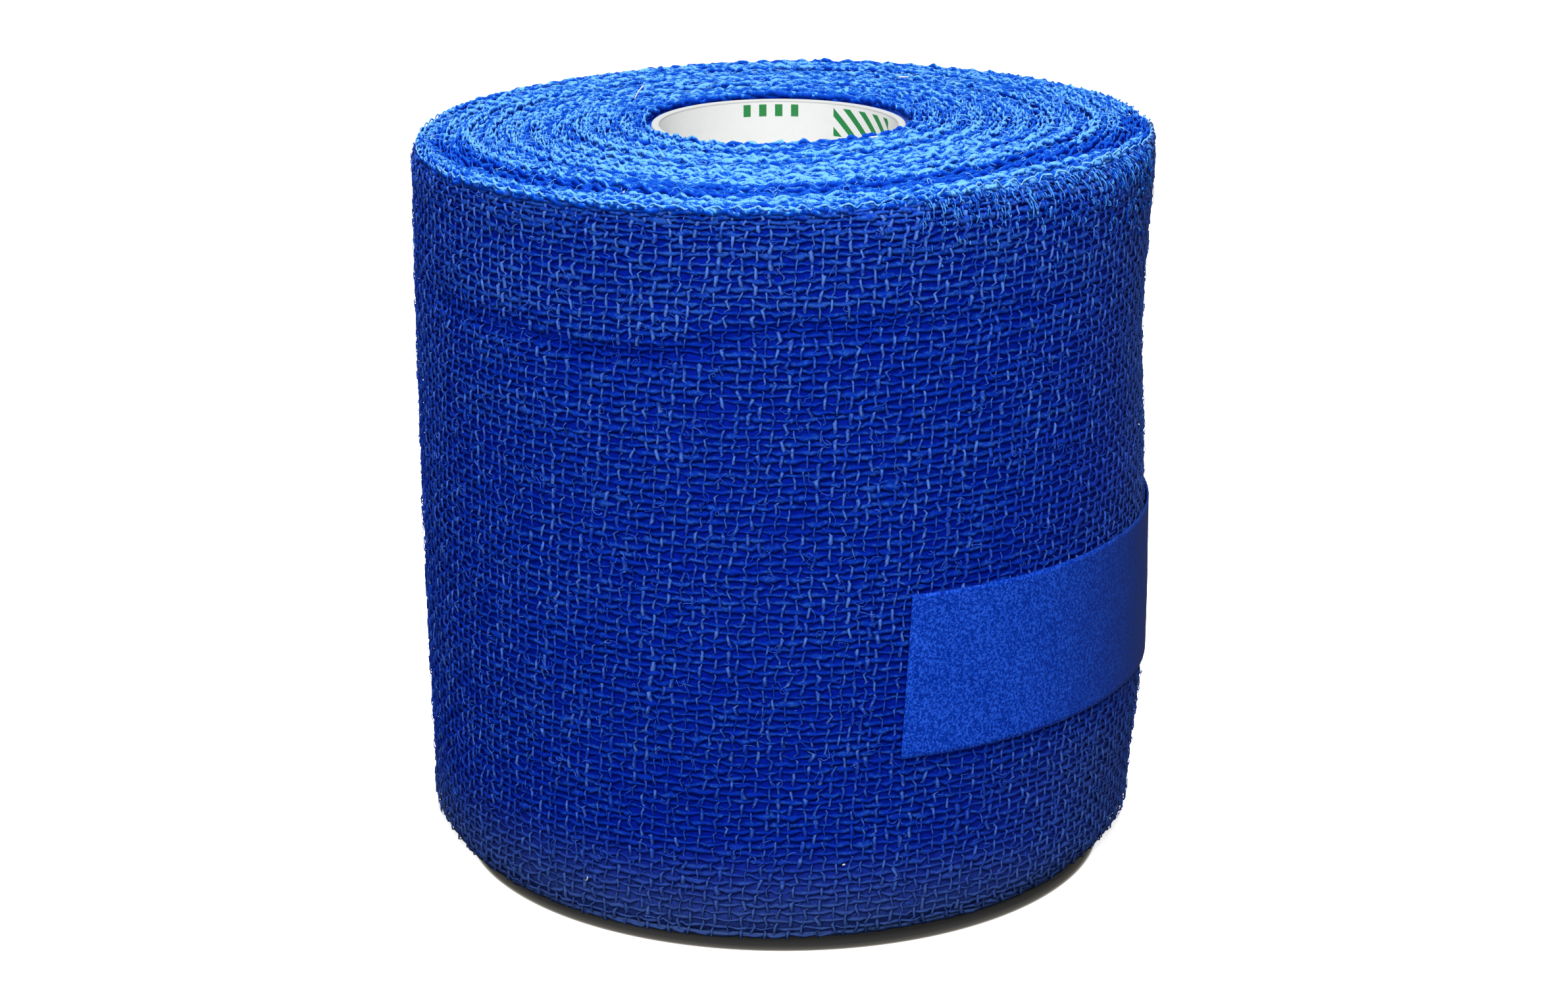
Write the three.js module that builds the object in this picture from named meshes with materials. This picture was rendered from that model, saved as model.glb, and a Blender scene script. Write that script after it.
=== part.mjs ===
import * as THREE from "three";

// Cohesive bandage roll standing on its end, in millimetres and degrees.
// +Z runs up the winding axis. The front faces -Y.
// A turn angle is measured round the axis: 0 at the front, 90 at +X.

const CLOTH = {
  radius: 41.35, // outer turn at its free end
  boreRadius: 14.5, // innermost turn
  rimTop: 79.7, // upper edge of the outer turn
  boreTop: 81.1, // the inner turns have slid up a little
  boreBottom: 1.1, // and so are clear of the table
  boreShift: -0.5, // the middle of the winding is this far off the axis, along X
  thickness: 0.5, // one turn
  freeEnd: 98, // turn angle of the cut end, under the tape
};

const RIM = {
  topRounding: 1.0,
  footRounding: 1.3,
  boreRounding: 0.5,
  grooveIn: 1.9, // the groove just inside the upper rim
  grooveDepth: 0.8,
};

// Halfway round a rounded edge, as a share of its radius from either face.
const HALF_ROUND = 1 - Math.SQRT1_2;

const TOP_TIERS = { first: 37.6, last: 15.6, count: 12, depth: 0.35 };
const FOOT_TIERS = { first: 16, last: 32, count: 5, depth: 0.4 };
const FOOT_LAND = { inner: 33.5, outer: 39.9 };
const TIER_WAVE = { height: 0.12, waves: 3 };

// The outer turn's soft creases, hollows and swells.
// Each has its middle, its spread round and up the roll, and how far it stands out.
const SWELLS = [
  { name: "left belly", angle: -88, z: 58, round: 42, up: 34, out: 0.35 },
  { name: "hollow below the right rim", angle: 84, z: 59, round: 20, up: 12, out: -0.75 },
  { name: "flare of the right rim", angle: 84, z: 79, round: 34, up: 5, out: 0.2 },
  { name: "low swell", angle: -15, z: 30, round: 30, up: 10, out: 0.15 },
  { name: "swell below the tape", angle: 86, z: 15, round: 24, up: 9, out: 0.4 },
];

// A crease that dips from the left and fades out past the front.
const CREASE = { from: -62, to: 10, fade: 12, width: 1.3, depth: 0.35 };
const CREASE_PATH = [
  { angle: -62, z: 66.3 },
  { angle: -30, z: 64.4 },
  { angle: -18, z: 65.0 },
  { angle: -4, z: 66.9 },
  { angle: 10, z: 68.2 },
];

const TAPE = {
  startTop: 19, // turn angle of the upper left corner
  startFoot: 17.5, // turn angle of the lower left corner
  end: 112,
  foot: 20.2,
  top: 38.4,
  thickness: 1.0,
  gap: 0.3,
  step: 3,
};

// The cloth is pressed in where the tape holds it.
const PRESSED = { depth: 0.5, margin: 0.6, ramp: 1.5, marginAngle: 1, rampAngle: 2 };

const CORE = { outerRadius: 14.2, innerRadius: 13.0, top: 80.5, sides: 48 };

const WALL_STEP = 6; // degrees between two columns of the wound solid
const END_STEP = 0.5; // degrees over which the cut end drops to the turn below
const WALL_HEIGHTS = [8, 14, 24, 30, 46, 52, 56, 60, 62.6, 64, 65.2, 66.4, 67.8, 69.5, 73, 76.5];

const COLOURS = { cloth: 0x0f3fc4, paper: 0xebe9e4, tape: 0x2465dc };

const radians = (degrees) => (degrees * Math.PI) / 180;
const mix = (from, to, share) => from + (to - from) * share;
const clamp01 = (value) => Math.min(1, Math.max(0, value));
const smooth = (value) => clamp01(value) ** 2 * (3 - 2 * clamp01(value));
const bell = (distance) => Math.exp(-distance * distance);

// The signed way from one turn angle to another, within half a turn.
function angleBetween(from, to) {
  return ((((to - from) % 360) + 540) % 360) - 180;
}

function onTurn(angle, radius, z) {
  return [radius * Math.sin(radians(angle)), -radius * Math.cos(radians(angle)), z];
}

// Rises from 0 to 1 before low, stays 1, and falls again past high.
function plateau(value, low, high, ramp) {
  return smooth((value - low + ramp) / ramp) * smooth((high + ramp - value) / ramp);
}

function creaseHeight(angle) {
  const after = CREASE_PATH.findIndex((point) => point.angle >= angle);
  if (after <= 0) return CREASE_PATH[after === 0 ? 0 : CREASE_PATH.length - 1].z;
  const [left, right] = [CREASE_PATH[after - 1], CREASE_PATH[after]];
  return mix(left.z, right.z, smooth((angle - left.angle) / (right.angle - left.angle)));
}

function creaseDepth(angle, z) {
  const along = plateau(angle, CREASE.from + CREASE.fade, CREASE.to - CREASE.fade, CREASE.fade);
  return CREASE.depth * along * bell((z - creaseHeight(angle)) / CREASE.width);
}

function swellAt(angle, z) {
  return SWELLS.reduce((sum, swell) => {
    const round = angleBetween(swell.angle, angle) / swell.round;
    return sum + swell.out * bell(round) * bell((z - swell.z) / swell.up);
  }, 0);
}

function pressedDepth(angle, z) {
  const round = plateau(
    angle,
    TAPE.startFoot - PRESSED.marginAngle,
    TAPE.end + PRESSED.marginAngle,
    PRESSED.rampAngle,
  );
  const up = plateau(z, TAPE.foot - PRESSED.margin, TAPE.top + PRESSED.margin, PRESSED.ramp);
  return PRESSED.depth * round * up;
}

// Radius of the outer turn: it grows by one thickness on its way round to the free end.
function wallRadius(angle, z) {
  const turned = (((CLOTH.freeEnd - angle) % 360) + 360) % 360;
  const wound = CLOTH.radius - (CLOTH.thickness * turned) / 360;
  const signed = angleBetween(0, angle);
  return wound + swellAt(signed, z) - creaseDepth(signed, z) - pressedDepth(signed, z);
}

// 0 at the outer turn and 1 at the bore.
function inward(radius) {
  return clamp01((CLOTH.radius - radius) / (CLOTH.radius - CLOTH.boreRadius));
}

function topHeight(radius) {
  return mix(CLOTH.rimTop, CLOTH.boreTop, inward(radius));
}

function footHeight(radius) {
  const share = clamp01((FOOT_LAND.inner - radius) / (FOOT_LAND.inner - CLOTH.boreRadius));
  return CLOTH.boreBottom * share;
}

// A row of the profile is a point of the wall, measured from its surface, or a point of an end.
const wallRow = (z, inset = 0) => ({ kind: "wall", z, inset });
const endRow = (radius, z, wave = 0) => ({ kind: "end", radius, z, wave });

function footRows() {
  const rows = [endRow(CLOTH.boreRadius, CLOTH.boreBottom + RIM.boreRounding)];
  const pitch = (FOOT_TIERS.last - FOOT_TIERS.first) / (FOOT_TIERS.count - 1);
  for (let i = 0; i < FOOT_TIERS.count; i++) {
    const crest = FOOT_TIERS.first + i * pitch;
    rows.push(endRow(crest, footHeight(crest)));
    if (i < FOOT_TIERS.count - 1) {
      const valley = crest + pitch / 2;
      rows.push(endRow(valley, footHeight(valley) + FOOT_TIERS.depth));
    }
  }
  rows.push(endRow(FOOT_LAND.inner, 0));
  rows.push(endRow(FOOT_LAND.outer, 0));
  return rows;
}

function wallRows() {
  const pressedEdges = [
    TAPE.foot - PRESSED.margin - PRESSED.ramp,
    TAPE.foot - PRESSED.margin,
    TAPE.top + PRESSED.margin,
    TAPE.top + PRESSED.margin + PRESSED.ramp,
  ];
  const heights = [...WALL_HEIGHTS, ...pressedEdges].sort((a, b) => a - b);
  return [
    wallRow(RIM.footRounding * HALF_ROUND, RIM.footRounding * HALF_ROUND),
    wallRow(RIM.footRounding),
    ...heights.map((z) => wallRow(z)),
    wallRow(CLOTH.rimTop - RIM.topRounding),
    wallRow(CLOTH.rimTop - RIM.topRounding * HALF_ROUND, RIM.topRounding * HALF_ROUND),
    wallRow(CLOTH.rimTop, RIM.topRounding),
    wallRow(CLOTH.rimTop - RIM.grooveDepth, RIM.grooveIn),
  ];
}

function topRows() {
  const rows = [];
  const pitch = (TOP_TIERS.first - TOP_TIERS.last) / (TOP_TIERS.count - 1);
  for (let i = 0; i < TOP_TIERS.count; i++) {
    const crest = TOP_TIERS.first - i * pitch;
    const valley = crest - pitch / 2;
    rows.push(endRow(crest, topHeight(crest), i + 1));
    if (i < TOP_TIERS.count - 1) rows.push(endRow(valley, topHeight(valley) - TOP_TIERS.depth));
  }
  rows.push(endRow(CLOTH.boreRadius, CLOTH.boreTop - RIM.boreRounding));
  return rows;
}

function placeRow(row, angle) {
  if (row.kind === "wall") return onTurn(angle, wallRadius(angle, row.z) - row.inset, row.z);
  const wave = row.wave ? Math.sin(radians(angle * TIER_WAVE.waves) + row.wave) : 0;
  const [x, y] = onTurn(angle, row.radius, 0);
  return [x + CLOTH.boreShift * inward(row.radius), y, row.z + TIER_WAVE.height * wave];
}

// Columns at even steps, and pairs of columns where the surface steps.
function clothAngles() {
  const extra = [
    TAPE.startFoot - PRESSED.marginAngle - PRESSED.rampAngle,
    TAPE.startFoot - PRESSED.marginAngle,
    CLOTH.freeEnd,
    CLOTH.freeEnd + END_STEP,
    TAPE.end + PRESSED.marginAngle,
    TAPE.end + PRESSED.marginAngle + PRESSED.rampAngle,
  ];
  const even = [];
  for (let angle = 0; angle < 360; angle += WALL_STEP) even.push(angle);
  const clear = even.filter((angle) => extra.every((other) => Math.abs(other - angle) > 1));
  return [...clear, ...extra].sort((a, b) => a - b);
}

function asGeometry(points, index) {
  const geometry = new THREE.BufferGeometry();
  geometry.setAttribute("position", new THREE.Float32BufferAttribute(points.flat(), 3));
  geometry.setIndex(index);
  geometry.computeVertexNormals();
  return geometry;
}

// A closed profile swept all the way round. The profile runs out along the foot, up and back in.
function sweptRing(rows, angles, place) {
  const points = angles.flatMap((angle) => rows.map((row) => place(row, angle)));
  const index = [];
  for (let a = 0; a < angles.length; a++) {
    const here = a * rows.length;
    const beside = ((a + 1) % angles.length) * rows.length;
    for (let r = 0; r < rows.length; r++) {
      const above = (r + 1) % rows.length;
      index.push(here + r, beside + r, beside + above);
      index.push(here + r, beside + above, here + above);
    }
  }
  return asGeometry(points, index);
}

// A strip of four-cornered sections, each going out, up and back in, closed at both ends.
function sweptStrip(sections) {
  const index = [];
  for (let s = 0; s < sections.length - 1; s++) {
    for (let c = 0; c < 4; c++) {
      const here = s * 4 + c;
      const above = s * 4 + ((c + 1) % 4);
      index.push(here, here + 4, above + 4, here, above + 4, above);
    }
  }
  const last = (sections.length - 1) * 4;
  index.push(0, 1, 2, 0, 2, 3);
  index.push(last, last + 2, last + 1, last, last + 3, last + 2);
  return asGeometry(sections.flat(), index);
}

function clothGeometry() {
  const rows = [...footRows(), ...wallRows(), ...topRows()];
  return sweptRing(rows, clothAngles(), placeRow);
}

function coreGeometry() {
  const rows = [
    { radius: CORE.innerRadius, z: 0 },
    { radius: CORE.outerRadius, z: 0 },
    { radius: CORE.outerRadius, z: CORE.top },
    { radius: CORE.innerRadius, z: CORE.top },
  ];
  const angles = Array.from({ length: CORE.sides }, (_, i) => (i * 360) / CORE.sides);
  return sweptRing(rows, angles, (row, angle) => {
    const [x, y, z] = onTurn(angle, row.radius, row.z);
    return [x + CLOTH.boreShift, y, z];
  });
}

// The tape keeps one radius past the cut end, so it bridges the step there.
function tapeRadius(angle) {
  const middle = (TAPE.foot + TAPE.top) / 2;
  return wallRadius(Math.min(angle, CLOTH.freeEnd), middle) + TAPE.gap;
}

function tapeGeometry() {
  const count = Math.round((TAPE.end - TAPE.startFoot) / TAPE.step);
  const sections = [];
  for (let i = 0; i <= count; i++) {
    const foot = mix(TAPE.startFoot, TAPE.end, i / count);
    const top = mix(TAPE.startTop, TAPE.end, i / count);
    sections.push([
      onTurn(foot, tapeRadius(foot), TAPE.foot),
      onTurn(foot, tapeRadius(foot) + TAPE.thickness, TAPE.foot),
      onTurn(top, tapeRadius(top) + TAPE.thickness, TAPE.top),
      onTurn(top, tapeRadius(top), TAPE.top),
    ]);
  }
  return sweptStrip(sections);
}

function piece(name, geometry, color, roughness) {
  const mesh = new THREE.Mesh(
    geometry,
    new THREE.MeshStandardMaterial({ color, roughness, flatShading: true }),
  );
  mesh.name = name;
  return mesh;
}

const roll = new THREE.Group();
roll.name = "cohesive_bandage_roll";
roll.add(piece("wound_cloth", clothGeometry(), COLOURS.cloth, 0.9));
roll.add(piece("core_tube", coreGeometry(), COLOURS.paper, 0.8));
roll.add(piece("closing_tape", tapeGeometry(), COLOURS.tape, 0.7));

export default roll;
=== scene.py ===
"""Looks of the cohesive bandage roll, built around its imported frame.

Lengths are in millimetres until a mesh is made. A turn angle is in degrees round the roll:
0 at the front, 90 at +X. "Turned" is how far back along the strip a place is from its cut end.
"""

import logging
import math
from dataclasses import dataclass, field
from enum import Enum

import bpy
import numpy as np
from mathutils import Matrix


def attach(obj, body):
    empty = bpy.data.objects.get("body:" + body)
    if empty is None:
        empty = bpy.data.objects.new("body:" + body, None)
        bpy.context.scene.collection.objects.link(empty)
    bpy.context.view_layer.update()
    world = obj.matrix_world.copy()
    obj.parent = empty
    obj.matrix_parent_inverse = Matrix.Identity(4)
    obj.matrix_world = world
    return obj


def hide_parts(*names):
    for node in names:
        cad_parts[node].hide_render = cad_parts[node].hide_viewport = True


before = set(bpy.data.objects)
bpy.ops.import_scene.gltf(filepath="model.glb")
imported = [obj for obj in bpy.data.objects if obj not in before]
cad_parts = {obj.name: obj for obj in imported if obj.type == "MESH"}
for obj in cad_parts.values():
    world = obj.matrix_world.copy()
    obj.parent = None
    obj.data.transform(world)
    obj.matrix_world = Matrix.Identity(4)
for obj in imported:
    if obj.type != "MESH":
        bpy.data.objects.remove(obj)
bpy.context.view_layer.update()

LOG = logging.getLogger("bandage_roll")
SEED = 7
MM = 0.001
HALF_TURN = 180.0
FULL_TURN = 360.0
# Keeps what a square root is taken of from rounding to less than 0.
ROOM_TO_ROUND = 1e-9
# No yarn comes nearer than this to the surface that the roll stands on.
LOWEST_YARN = 0.02
# How far below its middle a yarn is flat, as a share of half its height.
BELOW_MIDDLE = 0.6
# The heights of the swells that the upper and the lower selvage follow.
RIM_LEVEL = 79.0
FOOT_LEVEL = 1.0
GRAIN_DETAIL = 2.0
BLOTCH_DETAIL = 3.0
Colour = tuple[float, float, float]
Place = tuple[float, float, float]
Array = np.ndarray
Socket = bpy.types.NodeSocket
Piece = bpy.types.Object


def bell(distance: Array) -> Array:
    """Returns a soft bump: 1 at distance 0, fading to nothing by 2."""
    return np.exp(-np.square(distance))


def smooth(value: Array) -> Array:
    """Returns a value held within 0 and 1 and eased at both ends."""
    held = np.clip(value, 0.0, 1.0)
    return held * held * (3.0 - 2.0 * held)


def plateau(value: Array, low: float, high: float, ramp: float) -> Array:
    """Returns 1 from low to high, with a ramp outside each."""
    return smooth((value - low + ramp) / ramp) * smooth((high + ramp - value) / ramp)


def turn_between(start: Array, end: Array) -> Array:
    """Returns the signed turn from start to end, within half a turn."""
    return np.mod(end - start + HALF_TURN, FULL_TURN) - HALF_TURN


def on_turn(angle: Array, radius: Array, z: Array) -> Array:
    """Returns points round the axis.

    Args:
        angle: Turn angles in degrees.
        radius: Distances from the axis.
        z: Heights.

    Returns:
        An array with x, y and z in its last axis.
    """
    turn = np.radians(angle)
    x, y, height = np.broadcast_arrays(radius * np.sin(turn), -radius * np.cos(turn), z)
    return np.stack([x, y, height], axis=-1)


def outward_at(angle: Array) -> Array:
    """Returns the unit vectors that point away from the axis at these turn angles."""
    return on_turn(angle, np.ones_like(angle), np.zeros_like(angle))


def sideways_at(angle: Array) -> Array:
    """Returns the unit vectors that run round the roll at these turn angles."""
    turn = np.radians(angle)
    return np.stack([np.cos(turn), np.sin(turn), np.zeros_like(turn)], axis=-1)


def angle_of(points: Array) -> Array:
    """Returns the turn angle of each point."""
    return np.degrees(np.arctan2(points[..., 0], -points[..., 1]))


def radius_of(points: Array) -> Array:
    """Returns how far each point is from the axis."""
    return np.hypot(points[..., 0], points[..., 1])


def wander(rng: np.random.Generator, lines: int, steps: int, knots: int) -> Array:
    """Draws smooth random lines.

    Args:
        rng: Source of the random numbers.
        lines: How many lines.
        steps: Points on each line.
        knots: Free values along each line, eased from one to the next.

    Returns:
        An array of lines by steps, with a spread of about 1.
    """
    values = rng.normal(size=(lines, knots + 1))
    place = np.linspace(0.0, knots, steps)
    before = np.minimum(place.astype(int), knots - 1)
    share = smooth(place - before)
    return values[:, before] * (1.0 - share) + values[:, before + 1] * share


def beside(values: Array, reach: int) -> Array:
    """Averages each line with its neighbours, as threads that lie together wander together.

    Args:
        values: Lines by steps, where the last line lies beside the first.
        reach: How many neighbours count on each side.

    Returns:
        The averaged lines, with a spread like that of the first ones.
    """
    kernel = np.ones(2 * reach + 1) / math.sqrt(2 * reach + 1)
    padded = np.pad(values, ((reach, reach), (0, 0)), mode="wrap")
    columns = [np.convolve(column, kernel, mode="valid") for column in padded.T]
    return np.stack(columns, axis=1)


@dataclass(frozen=True)
class Swell:
    """A soft swell of the outer turn, or a hollow where out is below 0."""

    angle: float
    z: float
    round_by: float
    up_by: float
    out: float


@dataclass(frozen=True)
class Corner:
    """How an end's outer corner is rounded: a usual radius and where it is blunter or sharper."""

    usual: float
    changes: tuple[tuple[float, float, float], ...]
    sharpest: float = 0.1

    def radius_at(self, angle: Array) -> Array:
        """Adds up the usual radius and the changes, given as angle, width and amount.

        Args:
            angle: Turn angles.

        Returns:
            The corner's radius at each of them.
        """
        total = np.full(np.shape(angle), self.usual)
        for middle, width, amount in self.changes:
            total = total + amount * bell(turn_between(middle, angle) / width)
        return np.maximum(total, self.sharpest)

    def drop(self, angle: Array, into: Array) -> Array:
        """Returns how far an arc of the corner falls back.

        Args:
            angle: Turn angles.
            into: How far past the start of the rounding each place is.

        Returns:
            The fall, nothing where into is below 0.
        """
        radius = self.radius_at(angle)
        held = np.clip(into + radius, 0.0, radius)
        return radius - np.sqrt(np.square(radius) - np.square(held) + ROOM_TO_ROUND)


@dataclass(frozen=True)
class WoundForm:
    """The form of the wound cloth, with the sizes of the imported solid."""

    radius: float = 41.35
    bore_radius: float = 14.5
    rim_top: float = 79.95
    bore_top: float = 81.1
    bore_foot: float = 1.1
    bore_shift: float = -0.5
    thickness: float = 0.5
    free_end: float = 98.0
    land_inner: float = 33.5
    askew: float = 0.65
    askew_towards: float = 75.0
    rim_corner: Corner = Corner(0.8, ((46.0, 28.0, 2.6), (-102.0, 30.0, 1.0)))
    rim_wrap: float = 75.0
    foot_corner: Corner = Corner(2.3, ((-12.0, 24.0, -2.2), (60.0, 24.0, 1.8), (-65.0, 18.0, 0.9)))
    groove_angles: tuple[float, ...] = (
        -75.0, -60.0, -40.0, -20.0, 0.0, 25.0, 45.0, 60.0, 75.0, 88.0
    )
    groove_insets: tuple[float, ...] = (3.4, 4.2, 4.2, 5.6, 6.2, 6.6, 8.0, 6.2, 3.6, 2.0)
    groove_width: float = 1.4
    groove_fade: float = 15.0
    groove_depth: float = 0.8
    bank_height: float = 0.45
    bank_rise: float = 0.8
    bank_width: float = 12.0
    crease_angles: tuple[float, ...] = (-80.0, -64.0, -44.0, -30.0, -18.0, -9.0, 0.0, 48.0, 64.0)
    crease_heights: tuple[float, ...] = (65.6, 65.2, 64.7, 63.7, 64.1, 66.0, 67.5, 67.8, 68.0)
    crease_shares: tuple[float, ...] = (0.0, 0.45, 0.7, 1.0, 1.0, 0.8, 0.6, 0.35, 0.0)
    crease_width: float = 1.0
    crease_depth: float = 0.6
    swells: tuple[Swell, ...] = (
        Swell(-88.0, 58.0, 42.0, 34.0, 0.35),
        Swell(84.0, 59.0, 20.0, 12.0, -0.75),
        Swell(84.0, 79.0, 34.0, 5.0, 0.2),
        Swell(-15.0, 30.0, 30.0, 10.0, 0.15),
        Swell(86.0, 19.0, 24.0, 9.0, 0.4),
        Swell(-76.0, 6.0, 24.0, 10.0, -0.4),
        Swell(80.0, 4.0, 30.0, 9.0, -0.9),
    )

    def swell_at(self, angle: Array, z: Array) -> Array:
        """Adds up all the swells of the outer turn.

        Args:
            angle: Turn angles.
            z: Heights.

        Returns:
            How far the turn stands out at each place.
        """
        total = np.zeros(np.broadcast(angle, z).shape)
        for swell in self.swells:
            round_share = turn_between(swell.angle, angle) / swell.round_by
            total = total + swell.out * bell(round_share) * bell((z - swell.z) / swell.up_by)
        return total

    def above_crease(self, angle: Array, z: Array) -> Array:
        """Returns how far above the crease that crosses the front each place is."""
        signed = turn_between(0.0, angle)
        return z - np.interp(signed, self.crease_angles, self.crease_heights)

    def crease_at(self, angle: Array, z: Array) -> Array:
        """Returns 1 in the deepest part of the crease, fading to 0 beside it."""
        along = np.interp(turn_between(0.0, angle), self.crease_angles, self.crease_shares)
        return along * bell(self.above_crease(angle, z) / self.crease_width)

    def wall_radius(self, turned: Array, z: Array) -> Array:
        """Returns the radius of the outer turn.

        Args:
            turned: Degrees back along the strip from its cut end.
            z: Heights.

        Returns:
            The distance from the axis to the outside of the cloth.
        """
        angle = self.free_end - turned
        wound = self.radius - self.thickness * turned / FULL_TURN
        return wound + self.swell_at(angle, z) - self.crease_depth * self.crease_at(angle, z)

    def turned_at(self, angle: Array) -> Array:
        """Returns how far back from the cut end the outer turn is at each angle."""
        return np.mod(self.free_end - angle, FULL_TURN)

    def outside_at(self, angle: Array, z: Array) -> Array:
        """Returns the radius of the cloth's outside, with its rounded corners."""
        return self.wall_radius(self.turned_at(angle), z) - self.end_drop(angle, z)

    def inward(self, radius: Array) -> Array:
        """Returns 0 at the outer turn and 1 at the bore."""
        return np.clip((self.radius - radius) / (self.radius - self.bore_radius), 0.0, 1.0)

    def lift(self, angle: Array, radius: Array) -> Array:
        """Returns how far the upper end stands up or down where the strip ran askew."""
        tilt = self.askew * radius / self.radius
        return tilt * np.cos(np.radians(angle - self.askew_towards))

    def rim_height(self, angle: Array) -> Array:
        """Returns the height of the upper rim at each angle."""
        return self.rim_top + self.lift(angle, self.radius)

    def past_groove(self, angle: Array, radius: Array) -> Array:
        """Returns how far inside the middle of the groove each place of the upper end is."""
        inset = np.interp(turn_between(0.0, angle), self.groove_angles, self.groove_insets)
        return self.radius - radius - inset

    def groove_share(self, angle: Array) -> Array:
        """Returns 1 along the groove, fading to 0 past both of its ends."""
        first, last = self.groove_angles[0], self.groove_angles[-1]
        return plateau(turn_between(0.0, angle), first, last, self.groove_fade)

    def groove_at(self, angle: Array, radius: Array) -> Array:
        """Returns 1 in the groove inside the upper rim, fading to 0 beside it."""
        beside_it = self.past_groove(angle, radius) / self.groove_width
        return self.groove_share(angle) * bell(beside_it)

    def bank_at(self, angle: Array, radius: Array) -> Array:
        """Returns how far the turns just inside the groove stand up.

        Args:
            angle: Turn angles.
            radius: Distances from the axis.

        Returns:
            The rise, which is steep beside the groove and fades towards the bore.
        """
        past = self.past_groove(angle, radius)
        rise = self.bank_height * self.groove_share(angle) * smooth(past / self.bank_rise)
        return rise * (1.0 - smooth(past / self.bank_width))

    def top_height(self, angle: Array, radius: Array) -> Array:
        """Adds up the forms of the upper end.

        Args:
            angle: Turn angles.
            radius: Distances from the axis.

        Returns:
            The height of the upper end at each place.
        """
        crown = self.rim_top + (self.bore_top - self.rim_top) * self.inward(radius)
        corner = self.rim_corner.drop(angle, radius - self.radius)
        groove = self.groove_depth * self.groove_at(angle, radius)
        return crown + self.lift(angle, radius) + self.bank_at(angle, radius) - groove - corner

    def end_drop(self, angle: Array, z: Array) -> Array:
        """Returns how far the wall falls back at its rounded upper and lower corners."""
        at_rim = self.rim_corner.drop(angle, z - self.rim_height(angle))
        return at_rim + self.foot_corner.drop(angle, -z)

    def wrap_rim(self, angle: Array, z: Array) -> tuple[Array, Array, Array]:
        """Bends the upper edge of the outer turn inward round the rim's corner.

        Args:
            angle: Turn angles.
            z: Heights along the strip's width.

        Returns:
            How far inward each place goes, its height, and its tilt in radians.
        """
        blunt = self.rim_corner.radius_at(angle)
        share = np.clip((z - self.rim_height(angle) + blunt) / blunt, 0.0, 1.0)
        tilt = np.radians(self.rim_wrap) * share
        return blunt * (1.0 - np.cos(tilt)), z - blunt * share + blunt * np.sin(tilt), tilt

    def foot_height(self, radius: Array) -> Array:
        """Returns the height of the lower end at a radius."""
        share = (self.land_inner - radius) / (self.land_inner - self.bore_radius)
        return self.bore_foot * np.clip(share, 0.0, 1.0)

    def shift(self, points: Array, radius: Array) -> Array:
        """Moves points of an end sideways, because the bore is a little off the axis.

        Args:
            points: Points of an end.
            radius: How far each of them lay from the axis.

        Returns:
            The moved points.
        """
        moved = points.copy()
        moved[..., 0] += self.bore_shift * self.inward(radius)
        return moved


FORM = WoundForm()


@dataclass
class YarnPaths:
    """Middle lines of yarns of one length, and their size at every step.

    Each array starts with yarns by steps; the vectors have x, y and z in a last axis.
    """

    middle: Array
    outward: Array
    across: Array
    half_height: Array
    half_width: Array
    tone: Array

    def corners(self) -> Array:
        """Returns the crest and the two foot corners of every section."""
        along = np.gradient(self.middle, axis=1)
        handed = np.einsum("ijk,ijk->", along, np.cross(self.outward, self.across))
        rise = self.outward * self.half_height[..., None]
        side = self.across * self.half_width[..., None] * np.sign(handed)
        base = self.middle - rise * BELOW_MIDDLE
        return np.stack([self.middle + rise, base + side, base - side], axis=2)

    def faces(self) -> list[Array]:
        """Returns the quads along all the yarns, and the triangles that close their ends."""
        yarns, steps = self.half_height.shape
        start = (np.arange(yarns) * steps * 3)[:, None, None]
        step = (np.arange(steps - 1) * 3)[None, :, None]
        corner = np.arange(3)[None, None, :]
        beyond = (corner + 1) % 3
        here = start + step
        sides = np.stack(
            [here + corner, here + beyond, here + 3 + beyond, here + 3 + corner], axis=-1
        )
        last = start[:, 0] + (steps - 1) * 3
        first_caps = start[:, 0] + np.array([0, 2, 1])
        last_caps = last + np.array([0, 1, 2])
        return [sides.reshape(-1, 4), np.concatenate([first_caps, last_caps])]

    def make(self, name: str) -> Piece:
        """Makes one mesh object of all the yarns.

        Args:
            name: The piece's name.

        Returns:
            The object, smooth shaded, with a tone and a crest value at each vertex.
        """
        points = self.corners().reshape(-1, 3)
        points[:, 2] = np.maximum(points[:, 2], LOWEST_YARN)
        tone = np.repeat(self.tone.reshape(-1), 3)
        # The crest corner gets painted light, the foot corners painted shade.
        crest = np.tile(np.array([1.0, 0.0, 0.0]), self.tone.size)
        # Painted grey shade: how much each vertex gets.
        painted_grey_shade = np.repeat(PAINTED_GREY_SHADE.at(self.middle).reshape(-1), 3)
        marks = {"tone": tone, "crest": crest, "painted_grey_shade": painted_grey_shade}
        piece = mesh_object(name, points * MM, self.faces())
        for key, values in marks.items():
            mark(piece, key, values)
        return piece


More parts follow.
